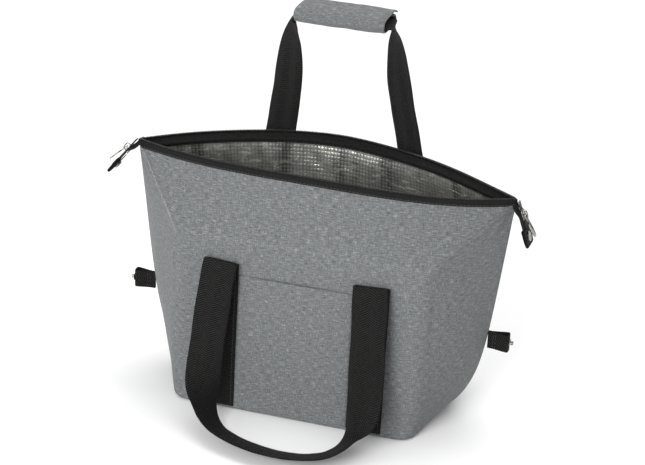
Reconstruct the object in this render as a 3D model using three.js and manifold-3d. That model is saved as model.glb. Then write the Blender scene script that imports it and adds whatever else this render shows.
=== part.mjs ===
// Insulated cooler bag standing open on its base, in millimetres, +Z up.
// The origin is the centre of the base on the surface that it stands on; the front faces -Y.
import * as THREE from 'three';
import * as BufferGeometryUtils from 'three/addons/utils/BufferGeometryUtils.js';
import Module from 'manifold-3d';

const wasm = await Module();
wasm.setup();

// ---- Driving dimensions ----------------------------------------------------------------------
const baseLength = 268;          // along X, corner to corner
const baseDepth = 178;           // along Y
const foldHeight = 192;          // height of the soft fold between body and yoke
const foldHalfLength = 137;      // the fold runs between the two crease ends
const foldDepth = { front: 77, back: 78 };
const cornerHeight = 255;        // top of the zip tape at the two mouth corners
const rimRise = 8.6;             // the rim is this much higher at its middle
const mouthHalfLength = 208;     // centre to mouth corner
const mouthCornerHalfGap = 3.2;  // half thickness of the closed end of the mouth
const rimBulge = { front: 52, back: 74 };
const rimRoundness = { front: 2.8, back: 1.7 };
const rimSkew = { front: 0.15, back: -0.15 };  // fuller towards one side
const cornerRadius = 18;         // of the vertical corners at the base
const foldCornerRadius = 5;      // the same corners at the fold
const rimCornerRadius = 0.4;     // and at the rim
const ridgeMiter = 0.6;          // inner layers stop this share of their depth earlier at the rim

const fabricThickness = 0.8;
const foamThickness = 4;
const liningThickness = 0.5;
const layerGap = 0.35;           // clearance between neighbouring layers

const webbingWidth = 38;
const webbingThickness = 1.4;
const strapHalfSpacing = 82;     // handle centre lines, front and back
const strapTopHeight = 166;      // top of the sewn part of each handle

const tabHeight = 91;            // centre of the side tabs above the floor
const tabWidth = 20;
const tabLength = 21;
const tailWidth = 22;            // the closed end of the zip beyond each mouth corner
const tailLength = 49;
const tailThickness = 1.4;
const tailDroop = { left: 51, right: 71 };     // degrees below horizontal
const sliderPlace = 17;          // middle of the parked slider along the tail
const pullTilt = 10;             // degrees that each pull stands off its tail

const pocketWidth = 2 * strapHalfSpacing - webbingWidth - 1;
const pocketTop = 155;
const patchBottom = 4;           // the pocket and the sewn straps start this far above the base

// ---- Colours and finishes --------------------------------------------------------------------
const finishes = {
  greyFabric: { color: 0x7b8083, roughness: 0.9, metalness: 0 },
  blackWebbing: { color: 0x1b1b1c, roughness: 0.8, metalness: 0 },
  zipTape: { color: 0x161718, roughness: 0.7, metalness: 0 },
  foil: { color: 0xb9bbb4, roughness: 0.3, metalness: 0.8 },
  foam: { color: 0xf0efe9, roughness: 0.95, metalness: 0 },
  metal: { color: 0xb6b3ab, roughness: 0.25, metalness: 1 },
};

const bag = new THREE.Group();

function add(name, finish, geometry, parent = bag) {
  const mesh = new THREE.Mesh(geometry, new THREE.MeshStandardMaterial(finishes[finish]));
  mesh.name = name;
  parent.add(mesh);
  return mesh;
}

// ---- Solid builders --------------------------------------------------------------------------
function signedVolume(positions, triangles) {
  const corner = (index) => new THREE.Vector3().fromArray(positions, 3 * index);
  let volume = 0;
  for (let i = 0; i < triangles.length; i += 3) {
    const [a, b, c] = [0, 1, 2].map((k) => corner(triangles[i + k]));
    volume += a.dot(b.cross(c)) / 6;
  }
  return volume;
}

// A closed geometry from points and triangles, turned so that its faces point out.
function closedGeometry(points, triangles) {
  const positions = points.flatMap((point) => point.toArray());
  if (signedVolume(positions, triangles) < 0) {
    triangles.reverse();
  }
  const geometry = new THREE.BufferGeometry();
  geometry.setAttribute('position', new THREE.Float32BufferAttribute(positions, 3));
  geometry.setIndex(triangles);
  return geometry;
}

// Rings of points, each closed on itself, skinned into a solid with flat ends.
function skinnedRings(rings) {
  const count = rings[0].length;
  const triangles = [];
  const quad = (a, b, c, d) => triangles.push(a, b, c, a, c, d);
  for (let row = 0; row + 1 < rings.length; row += 1) {
    for (let k = 0; k < count; k += 1) {
      const next = (k + 1) % count;
      quad(row * count + k, row * count + next, (row + 1) * count + next, (row + 1) * count + k);
    }
  }
  const cap = (row, flip) => {
    const half = count / 2;
    for (let k = 0; k + 1 < half; k += 1) {
      const ids = [k, k + 1, count - 2 - k, count - 1 - k].map((id) => row * count + id);
      quad(...(flip ? ids : ids.reverse()));
    }
  };
  cap(0, false);
  cap(rings.length - 1, true);
  return closedGeometry(rings.flat(), triangles);
}

// A sheet with thickness: rows of points on its outer face and on its inner face. Both faces are
// split along the same diagonals, so that sheets laid over one another keep an even gap.
function sheetSolid(outerRows, innerRows) {
  const rows = outerRows.length;
  const columns = outerRows[0].length;
  const triangles = [];
  const outer = (row, column) => row * columns + column;
  const inner = (row, column) => (rows + row) * columns + column;
  const quad = (a, b, c, d) => triangles.push(a, b, c, a, c, d);
  const edge = (a, b) => quad(outer(...b), outer(...a), inner(...a), inner(...b));
  for (let row = 0; row + 1 < rows; row += 1) {
    for (let column = 0; column + 1 < columns; column += 1) {
      const corners = [[row, column], [row, column + 1], [row + 1, column + 1], [row + 1, column]];
      quad(...corners.map((place) => outer(...place)));
      const [a, b, c, d] = corners.map((place) => inner(...place));
      triangles.push(a, c, b, a, d, c);
    }
    edge([row + 1, 0], [row, 0]);
    edge([row, columns - 1], [row + 1, columns - 1]);
  }
  for (let column = 0; column + 1 < columns; column += 1) {
    edge([0, column], [0, column + 1]);
    edge([rows - 1, column + 1], [rows - 1, column]);
  }
  return closedGeometry([...outerRows.flat(), ...innerRows.flat()], triangles);
}

function solidFrom(geometry) {
  const bare = geometry.clone();
  bare.deleteAttribute('normal');
  bare.deleteAttribute('uv');
  const merged = BufferGeometryUtils.mergeVertices(bare, 1e-4);
  return new wasm.Manifold(new wasm.Mesh({
    numProp: 3,
    vertProperties: merged.attributes.position.array,
    triVerts: new Uint32Array(merged.index.array),
  }));
}

function geometryFrom(solid) {
  const mesh = solid.getMesh();
  const geometry = new THREE.BufferGeometry();
  geometry.setAttribute('position', new THREE.BufferAttribute(mesh.vertProperties, 3));
  geometry.setIndex(new THREE.BufferAttribute(mesh.triVerts, 1));
  return geometry;
}

function extruded(outline, depth) {
  return new THREE.ExtrudeGeometry(outline, { depth, bevelEnabled: false, curveSegments: 6 });
}

function polygon(points) {
  return new THREE.Shape(points.map(([x, y]) => new THREE.Vector2(x, y)));
}

// A flat strap along a smooth route. Each stop has a place and the direction that its face looks in.
function strapAlong(stops, steps, width = webbingWidth, thickness = webbingThickness) {
  const path = new THREE.CatmullRomCurve3(stops.map((stop) => new THREE.Vector3(...stop.at)));
  const facing = new THREE.CatmullRomCurve3(stops.map((stop) => new THREE.Vector3(...stop.facing)));
  const rings = [];
  for (let i = 0; i <= steps; i += 1) {
    const place = path.getPoint(i / steps);
    const along = path.getTangent(i / steps);
    const side = new THREE.Vector3().crossVectors(along, facing.getPoint(i / steps)).setLength(width / 2);
    const out = new THREE.Vector3().crossVectors(side, along).setLength(thickness / 2);
    const corner = (s, t) => place.clone().addScaledVector(side, s).addScaledVector(out, t);
    rings.push([corner(-1, -1), corner(1, -1), corner(1, 1), corner(-1, 1)]);
  }
  return skinnedRings(rings);
}

// ---- Bag surface -----------------------------------------------------------------------------
const mix = THREE.MathUtils.lerp;

// The outermost line of each end, where the front and back fabric are sewn together: it swells
// out quickly above the base and then rises almost straight to the mouth corner.
function ridgeReach(height) {
  const baseReach = 143;
  const swell = 36;
  const swellHeight = 28;
  const straightReach = mouthHalfLength + 1 - baseReach - swell;
  const swollen = swell * (1 - Math.exp(-height / swellHeight));
  return baseReach + swollen + straightReach * (height / cornerHeight);
}

// One horizontal section of the front or back half, from the left ridge to the right ridge,
// at a depth inside the outer surface.
function halfSection(side, height, depth) {
  const sign = side === 'front' ? -1 : 1;
  const low = Math.min(height / foldHeight, 1);
  const rise = Math.max((height - foldHeight) / (cornerHeight - foldHeight), 0);
  const wallX = mix(baseLength / 2, foldHalfLength, low);
  const creaseX = mix(wallX, mouthHalfLength - 2, rise) - depth;
  const foldY = mix(baseDepth / 2, foldDepth[side], low);
  const creaseY = mix(foldY, mouthCornerHalfGap, rise) - depth;
  const middleY = mix(foldY, rimBulge[side], rise) - depth;
  const miter = 1 + ridgeMiter * height / cornerHeight;
  const ridge = new THREE.Vector3(ridgeReach(height) - depth * miter, layerGap / 2, height);

  const profile = (across) => {
    const fullness = (1 - Math.abs(across) ** rimRoundness[side]) * (1 + rimSkew[side] * across);
    const y = creaseY + (middleY - creaseY) * fullness;
    return new THREE.Vector3(creaseX * across, y, height + rimRise * rise * (1 - across * across));
  };
  const radius = mix(mix(cornerRadius, foldCornerRadius, low), rimCornerRadius, rise);
  const middleSteps = 8;
  const end = (direction) => {
    const start = ridge.clone().setX(ridge.x * direction);
    const corner = profile(direction);
    const reach = Math.min(radius / start.distanceTo(corner), 0.4);
    const before = corner.clone().lerp(start, reach);
    const after = profile(direction * (1 - radius / creaseX));
    const bend = before.clone().add(after).multiplyScalar(0.25).addScaledVector(corner, 0.5);
    return [start, start.clone().lerp(before, 0.5), before, bend, after];
  };
  const middle = [];
  for (let i = 1; i < middleSteps; i += 1) {
    const limit = 1 - radius / creaseX;
    middle.push(profile(limit * (2 * i / middleSteps - 1)));
  }
  const points = [...end(-1), ...middle, ...end(1).reverse()];
  points.forEach((point) => point.setY(point.y * sign));
  return points;
}

const columnCount = halfSection('front', 0, 0).length;
const endColumns = 4;            // columns of each end, up to its corner arc

// A layer of the wall between two depths, over a run of heights and of columns.
function wallLayer(side, heights, outerDepth, innerDepth, columns = [0, columnCount]) {
  const cut = (height, depth) => halfSection(side, height, depth).slice(...columns);
  return sheetSolid(
    heights.map((height) => cut(height, outerDepth)),
    heights.map((height) => cut(height, innerDepth)),
  );
}

function heightsBetween(low, high, count) {
  return Array.from({ length: count + 1 }, (_, i) => mix(low, high, i / count));
}

// A flat plate with the base's outline at a depth inside the outer surface.
function basePlate(bottom, thickness, depth) {
  const inset = depth > 0 ? depth + layerGap : 0;
  const front = halfSection('front', 0, inset);
  const back = halfSection('back', 0, inset).reverse();
  const outline = polygon([...front, ...back].map((point) => [point.x, point.y]));
  return extruded(outline, thickness).translate(0, 0, bottom);
}

// ---- Body: outer fabric, foam and lining ------------------------------------------------------
const foamDepth = fabricThickness + layerGap;
const liningDepth = foamDepth + foamThickness + layerGap;
const innerDepth = liningDepth + liningThickness;
const facingDepth = innerDepth + layerGap;
const foamFloor = fabricThickness + layerGap;
const liningFloor = foamFloor + foamThickness + layerGap;
const fabricTop = cornerHeight - 6.5;
const foamTop = cornerHeight - 8;
const facingHeight = 5;          // how far the binding reaches down over the lining

// Every layer bends at the same heights, so that the gaps between layers stay even.
const foldRows = [liningFloor, 12, 30, 60, 100, 146, foldHeight];
const yokeRows = [...heightsBetween(foldHeight, foamTop - facingHeight, 4), foamTop];

function buildBody() {
  const liningRows = [liningFloor + liningThickness + layerGap, ...foldRows.slice(1), ...yokeRows.slice(1)];
  const outerRows = [foamFloor, ...foldRows, ...yokeRows.slice(1), fabricTop];
  for (const side of ['front', 'back']) {
    add(`${side}_outer_fabric`, 'greyFabric', wallLayer(side, outerRows, 0, fabricThickness));
    add(`${side}_foil_lining`, 'foil', wallLayer(side, liningRows, liningDepth, innerDepth));
  }
  add('base_outer_fabric', 'greyFabric', basePlate(0, fabricThickness, 0));
  add('base_foam_sheet', 'foam', basePlate(foamFloor, foamThickness, foamDepth));
  add('base_foil_lining', 'foil', basePlate(liningFloor, liningThickness, liningDepth));
}

// Foam sheets: one behind each flat side of the body, one in each half of the two ends, and one
// behind each yoke. They part at the corner folds and at the fold line.
function buildFoam() {
  const depths = [foamDepth, foamDepth + foamThickness];
  const flat = [endColumns, columnCount - endColumns];
  const ends = { left: [0, endColumns - 1], right: [columnCount - endColumns + 1, columnCount] };
  const bodyRows = [...foldRows.slice(0, -1), foldHeight - layerGap];
  const aboveFold = [foldHeight + layerGap, ...yokeRows.slice(1)];
  for (const side of ['front', 'back']) {
    add(`${side}_foam_sheet`, 'foam', wallLayer(side, bodyRows, ...depths, flat));
    add(`${side}_yoke_foam`, 'foam', wallLayer(side, aboveFold, ...depths, flat));
    for (const end of ['left', 'right']) {
      const endRows = [...foldRows, ...yokeRows.slice(1)];
      add(`${side}_${end}_end_foam`, 'foam', wallLayer(side, endRows, ...depths, ends[end]));
    }
  }
}

// ---- Mouth: zip tapes, teeth and the bound facing inside ---------------------------------------
function buildMouth() {
  const tapeBottom = fabricTop + layerGap;
  const tapeDepth = 0.6;
  const tapeThickness = 1.2;
  const teethWidth = 1.7;
  const teethHeight = 2.4;
  for (const side of ['front', 'back']) {
    add(`${side}_zip_tape`, 'zipTape',
      wallLayer(side, heightsBetween(tapeBottom, cornerHeight, 2), tapeDepth, tapeDepth + tapeThickness));
    add(`${side}_zip_teeth`, 'zipTape', raisedStrip(side, tapeDepth, teethWidth, teethHeight));
    add(`${side}_mouth_facing`, 'zipTape', mouthFacing(side, tapeDepth + tapeThickness + layerGap));
  }
}

// Binding over the top edge of the lining, turned over the foam up to the inner face of the tape.
function mouthFacing(side, topDepth) {
  const thickness = 0.9;
  const route = [
    [foamTop - facingHeight, facingDepth], [foamTop, facingDepth],
    [fabricTop + 1.5, topDepth + 0.5], [cornerHeight - 1.5, topDepth],
  ];
  return sheetSolid(
    route.map(([height, depth]) => halfSection(side, height, depth)),
    route.map(([height, depth]) => halfSection(side, height, depth + thickness)),
  );
}

// The coil along the top of a tape: the rim's own section, raised straight up.
function raisedStrip(side, depth, width, height) {
  const lift = (points, rise) => points.map((point) => point.clone().setZ(point.z + rise));
  const outer = halfSection(side, cornerHeight, depth);
  const inner = halfSection(side, cornerHeight, depth + width);
  return sheetSolid(
    [lift(outer, layerGap), lift(outer, height)],
    [lift(inner, layerGap), lift(inner, height)],
  );
}

// ---- Handles ---------------------------------------------------------------------------------
// The outer face of the body at a height, half way along.
function wallReach(side, height) {
  return mix(baseDepth / 2, foldDepth[side], height / foldHeight);
}

// A flat piece sewn to the outer fabric, from near the base up to a height.
function sewnPatch(side, centre, width, thickness, top) {
  const sign = side === 'front' ? -1 : 1;
  const at = (height, out) => new THREE.Vector3(0, sign * (wallReach(side, height) + out), height);
  const ring = (height) => {
    const near = at(height, layerGap);
    const far = at(height, layerGap + thickness);
    return [[near, -1], [near, 1], [far, 1], [far, -1]].map(
      ([point, end]) => point.clone().setX(centre + end * width / 2),
    );
  };
  return skinnedRings([ring(patchBottom), ring(top)]);
}

function buildSewnStraps() {
  for (const side of ['front', 'back']) {
    for (const [end, sign] of [['left', -1], ['right', 1]]) {
      const centre = sign * strapHalfSpacing;
      add(`${side}_${end}_sewn_strap`, 'blackWebbing',
        sewnPatch(side, centre, webbingWidth, webbingThickness, strapTopHeight));
    }
  }
}

// The front handle has flopped forward: both legs hang from the top of the sewn straps and the
// middle lies in front of the bag, turned a quarter, on its inner edge.
const frontHandleStops = [
  { at: [-81, -82, 169.5], facing: [0, -0.3, 1] },
  { at: [-81.5, -87, 167.5], facing: [0, -1, 0.4] },
  { at: [-83, -93, 148], facing: [0, -1, 0] },
  { at: [-85, -100, 118], facing: [0, -1, 0] },
  { at: [-87, -107, 84], facing: [0.05, -1, 0] },
  { at: [-87.5, -115, 52], facing: [0.3, -0.95, 0.1] },
  { at: [-84, -127, 28.5], facing: [0.85, -0.5, 0.25] },
  { at: [-69, -145, 15.5], facing: [0.7, 0.05, 0.7] },
  { at: [-46, -160, 10.5], facing: [0.2, 0.34, 0.92] },
  { at: [-12, -171, 8.5], facing: [0, 0.34, 0.94] },
  { at: [22, -174.5, 8.3], facing: [0, 0.32, 0.95] },
  { at: [52, -167, 8.5], facing: [-0.1, 0.32, 0.95] },
  { at: [71, -151, 11], facing: [-0.5, 0.1, 0.85] },
  { at: [83.5, -132, 20.5], facing: [-0.8, -0.5, 0.45] },
  { at: [89.5, -119, 42], facing: [-0.3, -1, 0.2] },
  { at: [88, -107, 80], facing: [0, -1, 0] },
  { at: [86, -100, 118], facing: [0, -1, 0] },
  { at: [84, -92, 148], facing: [0, -1, 0] },
  { at: [82.5, -87, 166], facing: [0, -1, 0.4] },
  { at: [82, -82, 168.5], facing: [0, -0.3, 1] },
];

// The back handle stands up: its legs lean together above the rim and turn a quarter into a
// level grip.
const gripHeight = 396;
const gripCentre = -7;
const gripReach = 82;
const backHandleStops = [
  { at: [-82, gripReach, 168], facing: [0, -1, 0] },
  { at: [-81, gripReach + 1, 200], facing: [-0.08, -1, 0] },
  { at: [-78.5, gripReach, 235], facing: [-0.22, -1, 0] },
  { at: [-74.5, gripReach, 268], facing: [-0.3, -1, 0] },
  { at: [-70.5, gripReach - 1, 300], facing: [-0.36, -1, 0] },
  { at: [-67.5, gripReach - 2, 332], facing: [-0.42, -0.95, 0] },
  { at: [-65.5, gripReach - 3, 360], facing: [-0.6, -0.8, 0.05] },
  { at: [-62.5, gripReach - 4, 381], facing: [-0.8, -0.45, 0.2] },
  { at: [-59.5, gripReach - 4, gripHeight - 3], facing: [-0.5, 0, 0.8] },
  { at: [-42, gripReach - 4, gripHeight], facing: [0, 0, 1] },
  { at: [gripCentre, gripReach - 4, gripHeight], facing: [0, 0, 1] },
  { at: [26, gripReach - 4, gripHeight], facing: [0, 0, 1] },
  { at: [43.5, gripReach - 4, gripHeight - 0.5], facing: [0.2, 0, 0.95] },
  { at: [49.5, gripReach - 4, 386], facing: [0.9, 0.2, 0.4] },
  { at: [50.5, gripReach - 3, 366], facing: [0.8, 0.6, 0.1] },
  { at: [53.5, gripReach - 2, 336], facing: [0.57, 0.82, 0] },
  { at: [60.5, gripReach - 1, 302], facing: [0.5, 0.87, 0] },
  { at: [67.5, gripReach, 268], facing: [0.5, 0.87, 0] },
  { at: [74.5, gripReach, 235], facing: [0.4, 0.92, 0] },
  { at: [80.5, gripReach + 1, 200], facing: [0.15, 1, 0] },
  { at: [82, gripReach, 168], facing: [0, 1, 0] },
];

function buildHandles() {
  add('front_handle_webbing', 'blackWebbing', strapAlong(frontHandleStops, 60));
  add('back_handle_webbing', 'blackWebbing', strapAlong(backHandleStops, 60));
}

// ---- Grip wrap on the back handle -------------------------------------------------------------
const wrapLength = 100;
const wrapDepth = 44;            // across the webbing
const wrapHeight = 11.5;
const wrapWall = 1.8;
const stripThickness = 0.8;      // of the hook and loop strips under the flap
const flapLift = 2 * stripThickness + 3 * layerGap + wrapWall;

// Part of a flat-sided oval ring, between two angles: 0 faces back, 90 up and 180 front.
function ovalArc(from, to, grow) {
  const steps = 18;
  const straight = (wrapDepth - wrapHeight) / 2;
  const at = (degrees, inward) => {
    const angle = THREE.MathUtils.degToRad(degrees);
    const radius = wrapHeight / 2 + grow - inward;
    const shift = straight * Math.sign(Math.cos(angle));
    return new THREE.Vector2(shift + radius * Math.cos(angle), radius * Math.sin(angle));
  };
  const angles = heightsBetween(from, to, steps);
  const outer = angles.map((angle) => at(angle, 0));
  const inner = angles.map((angle) => at(angle, wrapWall)).reverse();
  return new THREE.Shape([...outer, ...inner]);
}

// An outline in Y and Z, drawn out along +X.
function alongX(outline, length) {
  const turn = new THREE.Matrix4().makeBasis(
    new THREE.Vector3(0, 1, 0), new THREE.Vector3(0, 0, 1), new THREE.Vector3(1, 0, 0),
  );
  return extruded(outline, length).applyMatrix4(turn);
}

function buildWrap() {
  const wrap = new THREE.Group();
  wrap.position.set(gripCentre - wrapLength / 2, gripReach - 4, gripHeight);
  bag.add(wrap);
  add('grip_wrap_base', 'greyFabric', alongX(ovalArc(185, 440, 0), wrapLength), wrap);
  add('grip_wrap_flap', 'greyFabric', alongX(ovalArc(20, 178, flapLift), wrapLength), wrap);
  const stripLength = wrapLength - 12;
  const stripWidth = 16;
  const stripMiddle = 7;
  const strip = (level) => new THREE.BoxGeometry(stripLength, stripWidth, stripThickness)
    .translate(wrapLength / 2, stripMiddle, wrapHeight / 2 + level + stripThickness / 2);
  add('grip_wrap_loop_strip', 'blackWebbing', strip(layerGap), wrap);
  add('grip_wrap_hook_strip', 'blackWebbing', strip(2 * layerGap + stripThickness), wrap);
}

// ---- Zip tails, sliders and pulls --------------------------------------------------------------
const tailStart = 2;
const slotHalfWidth = 1.6;
const coverThickness = 0.9;
const coverLength = 17;
const snapPlace = tailLength - 8;

// The two zip tapes beyond the mouth corner, parted by a slot as far as the slider can go.
function tailStrip() {
  const half = tailWidth / 2;
  const slotEnd = sliderPlace + 9;
  const outline = polygon([
    [tailStart, slotHalfWidth], [slotEnd, slotHalfWidth], [slotEnd, -slotHalfWidth],
    [tailStart, -slotHalfWidth], [tailStart, -half], [tailLength, -half],
    [tailLength, half], [tailStart, half],
  ]);
  return extruded(outline, tailThickness).translate(0, 0, -tailThickness / 2);
}

// An outline in X and Z, drawn out along Y and centred on it.
function acrossY(outline, width) {
  return extruded(outline, width).rotateX(Math.PI / 2).translate(0, width / 2, 0);
}

// Fabric folded over the end of the zip.
function tailCover() {
  const inner = tailThickness / 2 + layerGap;
  const outer = inner + coverThickness;
  const start = tailLength - coverLength;
  const fold = tailLength + layerGap;
  const outline = polygon([
    [start, inner], [fold, inner], [fold, -inner], [start, -inner], [start, -outer],
    [fold + coverThickness, -outer], [fold + coverThickness, outer], [start, outer],
  ]);
  return acrossY(outline, tailWidth + 1);
}

// A turned piece from half an outline of radius and height, standing on z = 0.
function turned(profile) {
  const sides = 20;
  const outline = profile.map(([radius, height]) => new THREE.Vector2(radius, height));
  return new THREE.LatheGeometry(outline, sides).rotateX(Math.PI / 2);
}

function snapCap() {
  return turned([[0, 0], [5.5, 0], [5.5, 0.3], [4.8, 0.7], [0, 0.7]]);
}

function snapSocket() {
  return turned([[0, 0], [4.8, 0], [4.8, 0.8], [3.8, 2], [2.4, 2], [2.4, 0.8], [0, 0.8]]);
}

function snapStud() {
  return turned([[0, 0], [4.4, 0], [4.4, 0.7], [2, 1.1], [2, 2.4], [2.5, 3.2], [1.8, 4], [0, 4]]);
}

const sliderLength = 11;
const flangeHalfWidth = 4.6;
const flangeInner = tailThickness / 2 + layerGap;
const flangeTop = 2.4;
const bailHole = { reach: 3, top: 5 };
const bailReach = 4.5;
const bailTop = 6.3;
const pullLevel = 3.8;           // height of the bar of the pull inside the bail

// Two flanges joined by a wedge that rides in the slot, with a bail on top for the pull.
function slider() {
  const web = slotHalfWidth - 0.4;
  const lowest = -flangeInner - 1.2;
  const profile = polygon([
    [-flangeHalfWidth, lowest], [flangeHalfWidth, lowest], [flangeHalfWidth, -flangeInner],
    [web, -flangeInner], [web, flangeInner], [flangeHalfWidth, flangeInner],
    [flangeHalfWidth, flangeTop], [-flangeHalfWidth, flangeTop], [-flangeHalfWidth, flangeInner],
    [-web, flangeInner], [-web, -flangeInner], [-flangeHalfWidth, -flangeInner],
  ]);
  const body = alongX(profile, sliderLength).translate(-sliderLength / 2, 0, 0);
  const sunk = flangeTop - 0.4;
  const arch = new THREE.Shape();
  arch.moveTo(-bailReach, sunk);
  arch.lineTo(bailReach, sunk);
  arch.lineTo(bailReach, bailTop - 1.5);
  arch.quadraticCurveTo(bailReach, bailTop, bailReach - 1.5, bailTop);
  arch.lineTo(1.5 - bailReach, bailTop);
  arch.quadraticCurveTo(-bailReach, bailTop, -bailReach, bailTop - 1.5);
  const hole = [[-1, flangeTop], [1, flangeTop], [1, bailHole.top], [-1, bailHole.top]];
  arch.holes.push(new THREE.Path(hole.map(([x, z]) => new THREE.Vector2(x * bailHole.reach, z))));
  const bail = acrossY(arch, 2);
  return geometryFrom(solidFrom(body).add(solidFrom(bail)));
}

// A flat tongue with an eye: its inner bar lies inside the bail.
function pullPlate() {
  const halfBar = 0.7;
  const thickness = 1.2;
  const length = 26;
  const eye = { end: 5.7, half: 1.7 };
  const outline = new THREE.Shape();
  outline.moveTo(-halfBar, -2.9);
  outline.lineTo(eye.end + 1, -2.9);
  outline.lineTo(length - 3.5, -3.5);
  outline.absarc(length - 3.5, 0, 3.5, -Math.PI / 2, Math.PI / 2, false);
  outline.lineTo(eye.end + 1, 2.9);
  outline.lineTo(-halfBar, 2.9);
  const eyeHole = [[halfBar, -1], [eye.end, -1], [eye.end, 1], [halfBar, 1]];
  outline.holes.push(new THREE.Path(eyeHole.map(([x, y]) => new THREE.Vector2(x, y * eye.half))));
  return extruded(outline, thickness).translate(0, 0, -thickness / 2);
}

// Everything beyond a mouth corner lies in a frame whose +X runs down the tail.
function buildTail(end) {
  const corner = new THREE.Group();
  corner.position.set((end === 'left' ? -1 : 1) * (mouthHalfLength + 1), 0, cornerHeight);
  corner.rotation.z = end === 'left' ? Math.PI : 0;
  const tail = new THREE.Group();
  tail.rotation.y = THREE.MathUtils.degToRad(tailDroop[end]);
  corner.add(tail);
  bag.add(corner);
  const coverReach = tailThickness / 2 + layerGap + coverThickness + layerGap;
  add(`${end}_zip_tail`, 'zipTape', tailStrip(), tail);
  add(`${end}_tail_cover`, 'blackWebbing', tailCover(), tail);
  add(`${end}_tail_snap_cap`, 'metal', snapCap(), tail).position.set(snapPlace, 0, coverReach);
  const socket = add(`${end}_tail_snap_socket`, 'metal', snapSocket(), tail);
  socket.position.set(snapPlace, 0, -coverReach);
  socket.rotation.x = Math.PI;
  add(`${end}_zip_slider`, 'metal', slider(), tail).position.set(sliderPlace, 0, 0);
  const pull = add(`${end}_zip_pull`, 'metal', pullPlate(), tail);
  pull.position.set(sliderPlace, 0, pullLevel);
  pull.rotation.y = -THREE.MathUtils.degToRad(pullTilt);
}

// ---- Side tabs -------------------------------------------------------------------------------
// A short loop of webbing sewn into each end seam, with a snap stud riveted through its wide tip.
function tabLoop() {
  const root = 1.5;
  const tip = 4.8;
  const outer = polygon([[0, -root], [tabLength - 2, -tip], [tabLength, -tip + 1.5],
    [tabLength, tip - 1.5], [tabLength - 2, tip], [0, root]]);
  const wall = 1.2;
  const cavity = [[5, 0], [tabLength - 2 - wall, wall - tip], [tabLength - wall, wall + 1 - tip],
    [tabLength - wall, tip - wall - 1], [tabLength - 2 - wall, tip - wall]];
  outer.holes.push(new THREE.Path(cavity.map(([x, y]) => new THREE.Vector2(x, y))));
  return extruded(outer, tabWidth).translate(0, 0, -tabWidth / 2);
}

function buildSideTab(end) {
  const tab = new THREE.Group();
  const root = ridgeReach(tabHeight + tabWidth / 2) + 1.2;
  tab.position.set((end === 'left' ? -1 : 1) * root, 0, tabHeight);
  tab.rotation.z = end === 'left' ? Math.PI : 0;
  bag.add(tab);
  add(`${end}_side_tab`, 'blackWebbing', tabLoop(), tab);
  const stud = add(`${end}_tab_snap_stud`, 'metal', snapStud(), tab);
  stud.rotation.y = Math.PI / 2;
  stud.position.x = tabLength + layerGap;
  const rivet = turned([[0, 0], [2.9, 0], [2.9, 0.5], [2, 0.8], [0, 0.8]]).rotateY(-Math.PI / 2);
  add(`${end}_tab_rivet`, 'metal', rivet, tab).position.x = tabLength - 1.2 - 2 * layerGap;
}

function buildPocket() {
  add('front_pocket_panel', 'greyFabric',
    sewnPatch('front', 0, pocketWidth, fabricThickness, pocketTop));
}

buildBody();
buildFoam();
buildMouth();
buildSewnStraps();
buildPocket();
buildHandles();
buildWrap();
for (const end of ['left', 'right']) {
  buildTail(end);
  buildSideTab(end);
}

export default bag;
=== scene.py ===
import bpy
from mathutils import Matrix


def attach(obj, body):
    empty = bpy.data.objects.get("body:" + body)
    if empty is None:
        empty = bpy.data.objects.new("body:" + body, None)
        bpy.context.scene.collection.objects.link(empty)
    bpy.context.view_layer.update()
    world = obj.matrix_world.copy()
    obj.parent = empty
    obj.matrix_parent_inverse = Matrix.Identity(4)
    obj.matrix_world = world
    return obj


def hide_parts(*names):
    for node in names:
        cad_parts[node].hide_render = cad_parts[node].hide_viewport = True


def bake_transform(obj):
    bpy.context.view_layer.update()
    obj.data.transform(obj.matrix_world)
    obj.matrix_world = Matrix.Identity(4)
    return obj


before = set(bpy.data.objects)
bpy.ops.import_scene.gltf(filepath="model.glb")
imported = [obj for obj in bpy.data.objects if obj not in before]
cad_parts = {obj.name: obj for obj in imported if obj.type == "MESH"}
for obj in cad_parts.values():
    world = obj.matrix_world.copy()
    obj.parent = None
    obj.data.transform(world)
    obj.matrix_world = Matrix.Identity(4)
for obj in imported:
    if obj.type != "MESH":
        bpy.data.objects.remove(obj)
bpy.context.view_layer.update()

import math

import bpy
import numpy as np
from mathutils import Matrix, Vector, noise

# ---- Sizes of the bag, in metres ------------------------------------------------------------
BASE_LENGTH = 0.268
BASE_DEPTH = 0.178
FOLD_HEIGHT = 0.192              # soft fold between body and yoke
FOLD_HALF_LENGTH = 0.137
FOLD_DEPTH = {"front": 0.077, "back": 0.078}
CORNER_HEIGHT = 0.255            # top of the zip tape at the mouth corners
RIM_RISE = 0.0086
MOUTH_HALF_LENGTH = 0.208
CORNER_HALF_GAP = 0.0032
RIM_BULGE = {"front": 0.052, "back": 0.074}
RIM_ROUNDNESS = {"front": 2.8, "back": 1.7}
TAIL_DROOP = {"left": 51, "right": 71}      # degrees below level
PULL_TILT = 10                   # degrees that a pull stands off its tail
RIM_SKEW = {"front": 0.15, "back": -0.15}
CORNER_RADIUS = 0.018
FOLD_CORNER_RADIUS = 0.012
FOLD_SOFTNESS = 0.005            # the fold rounds off over about twice this, above and below

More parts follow.
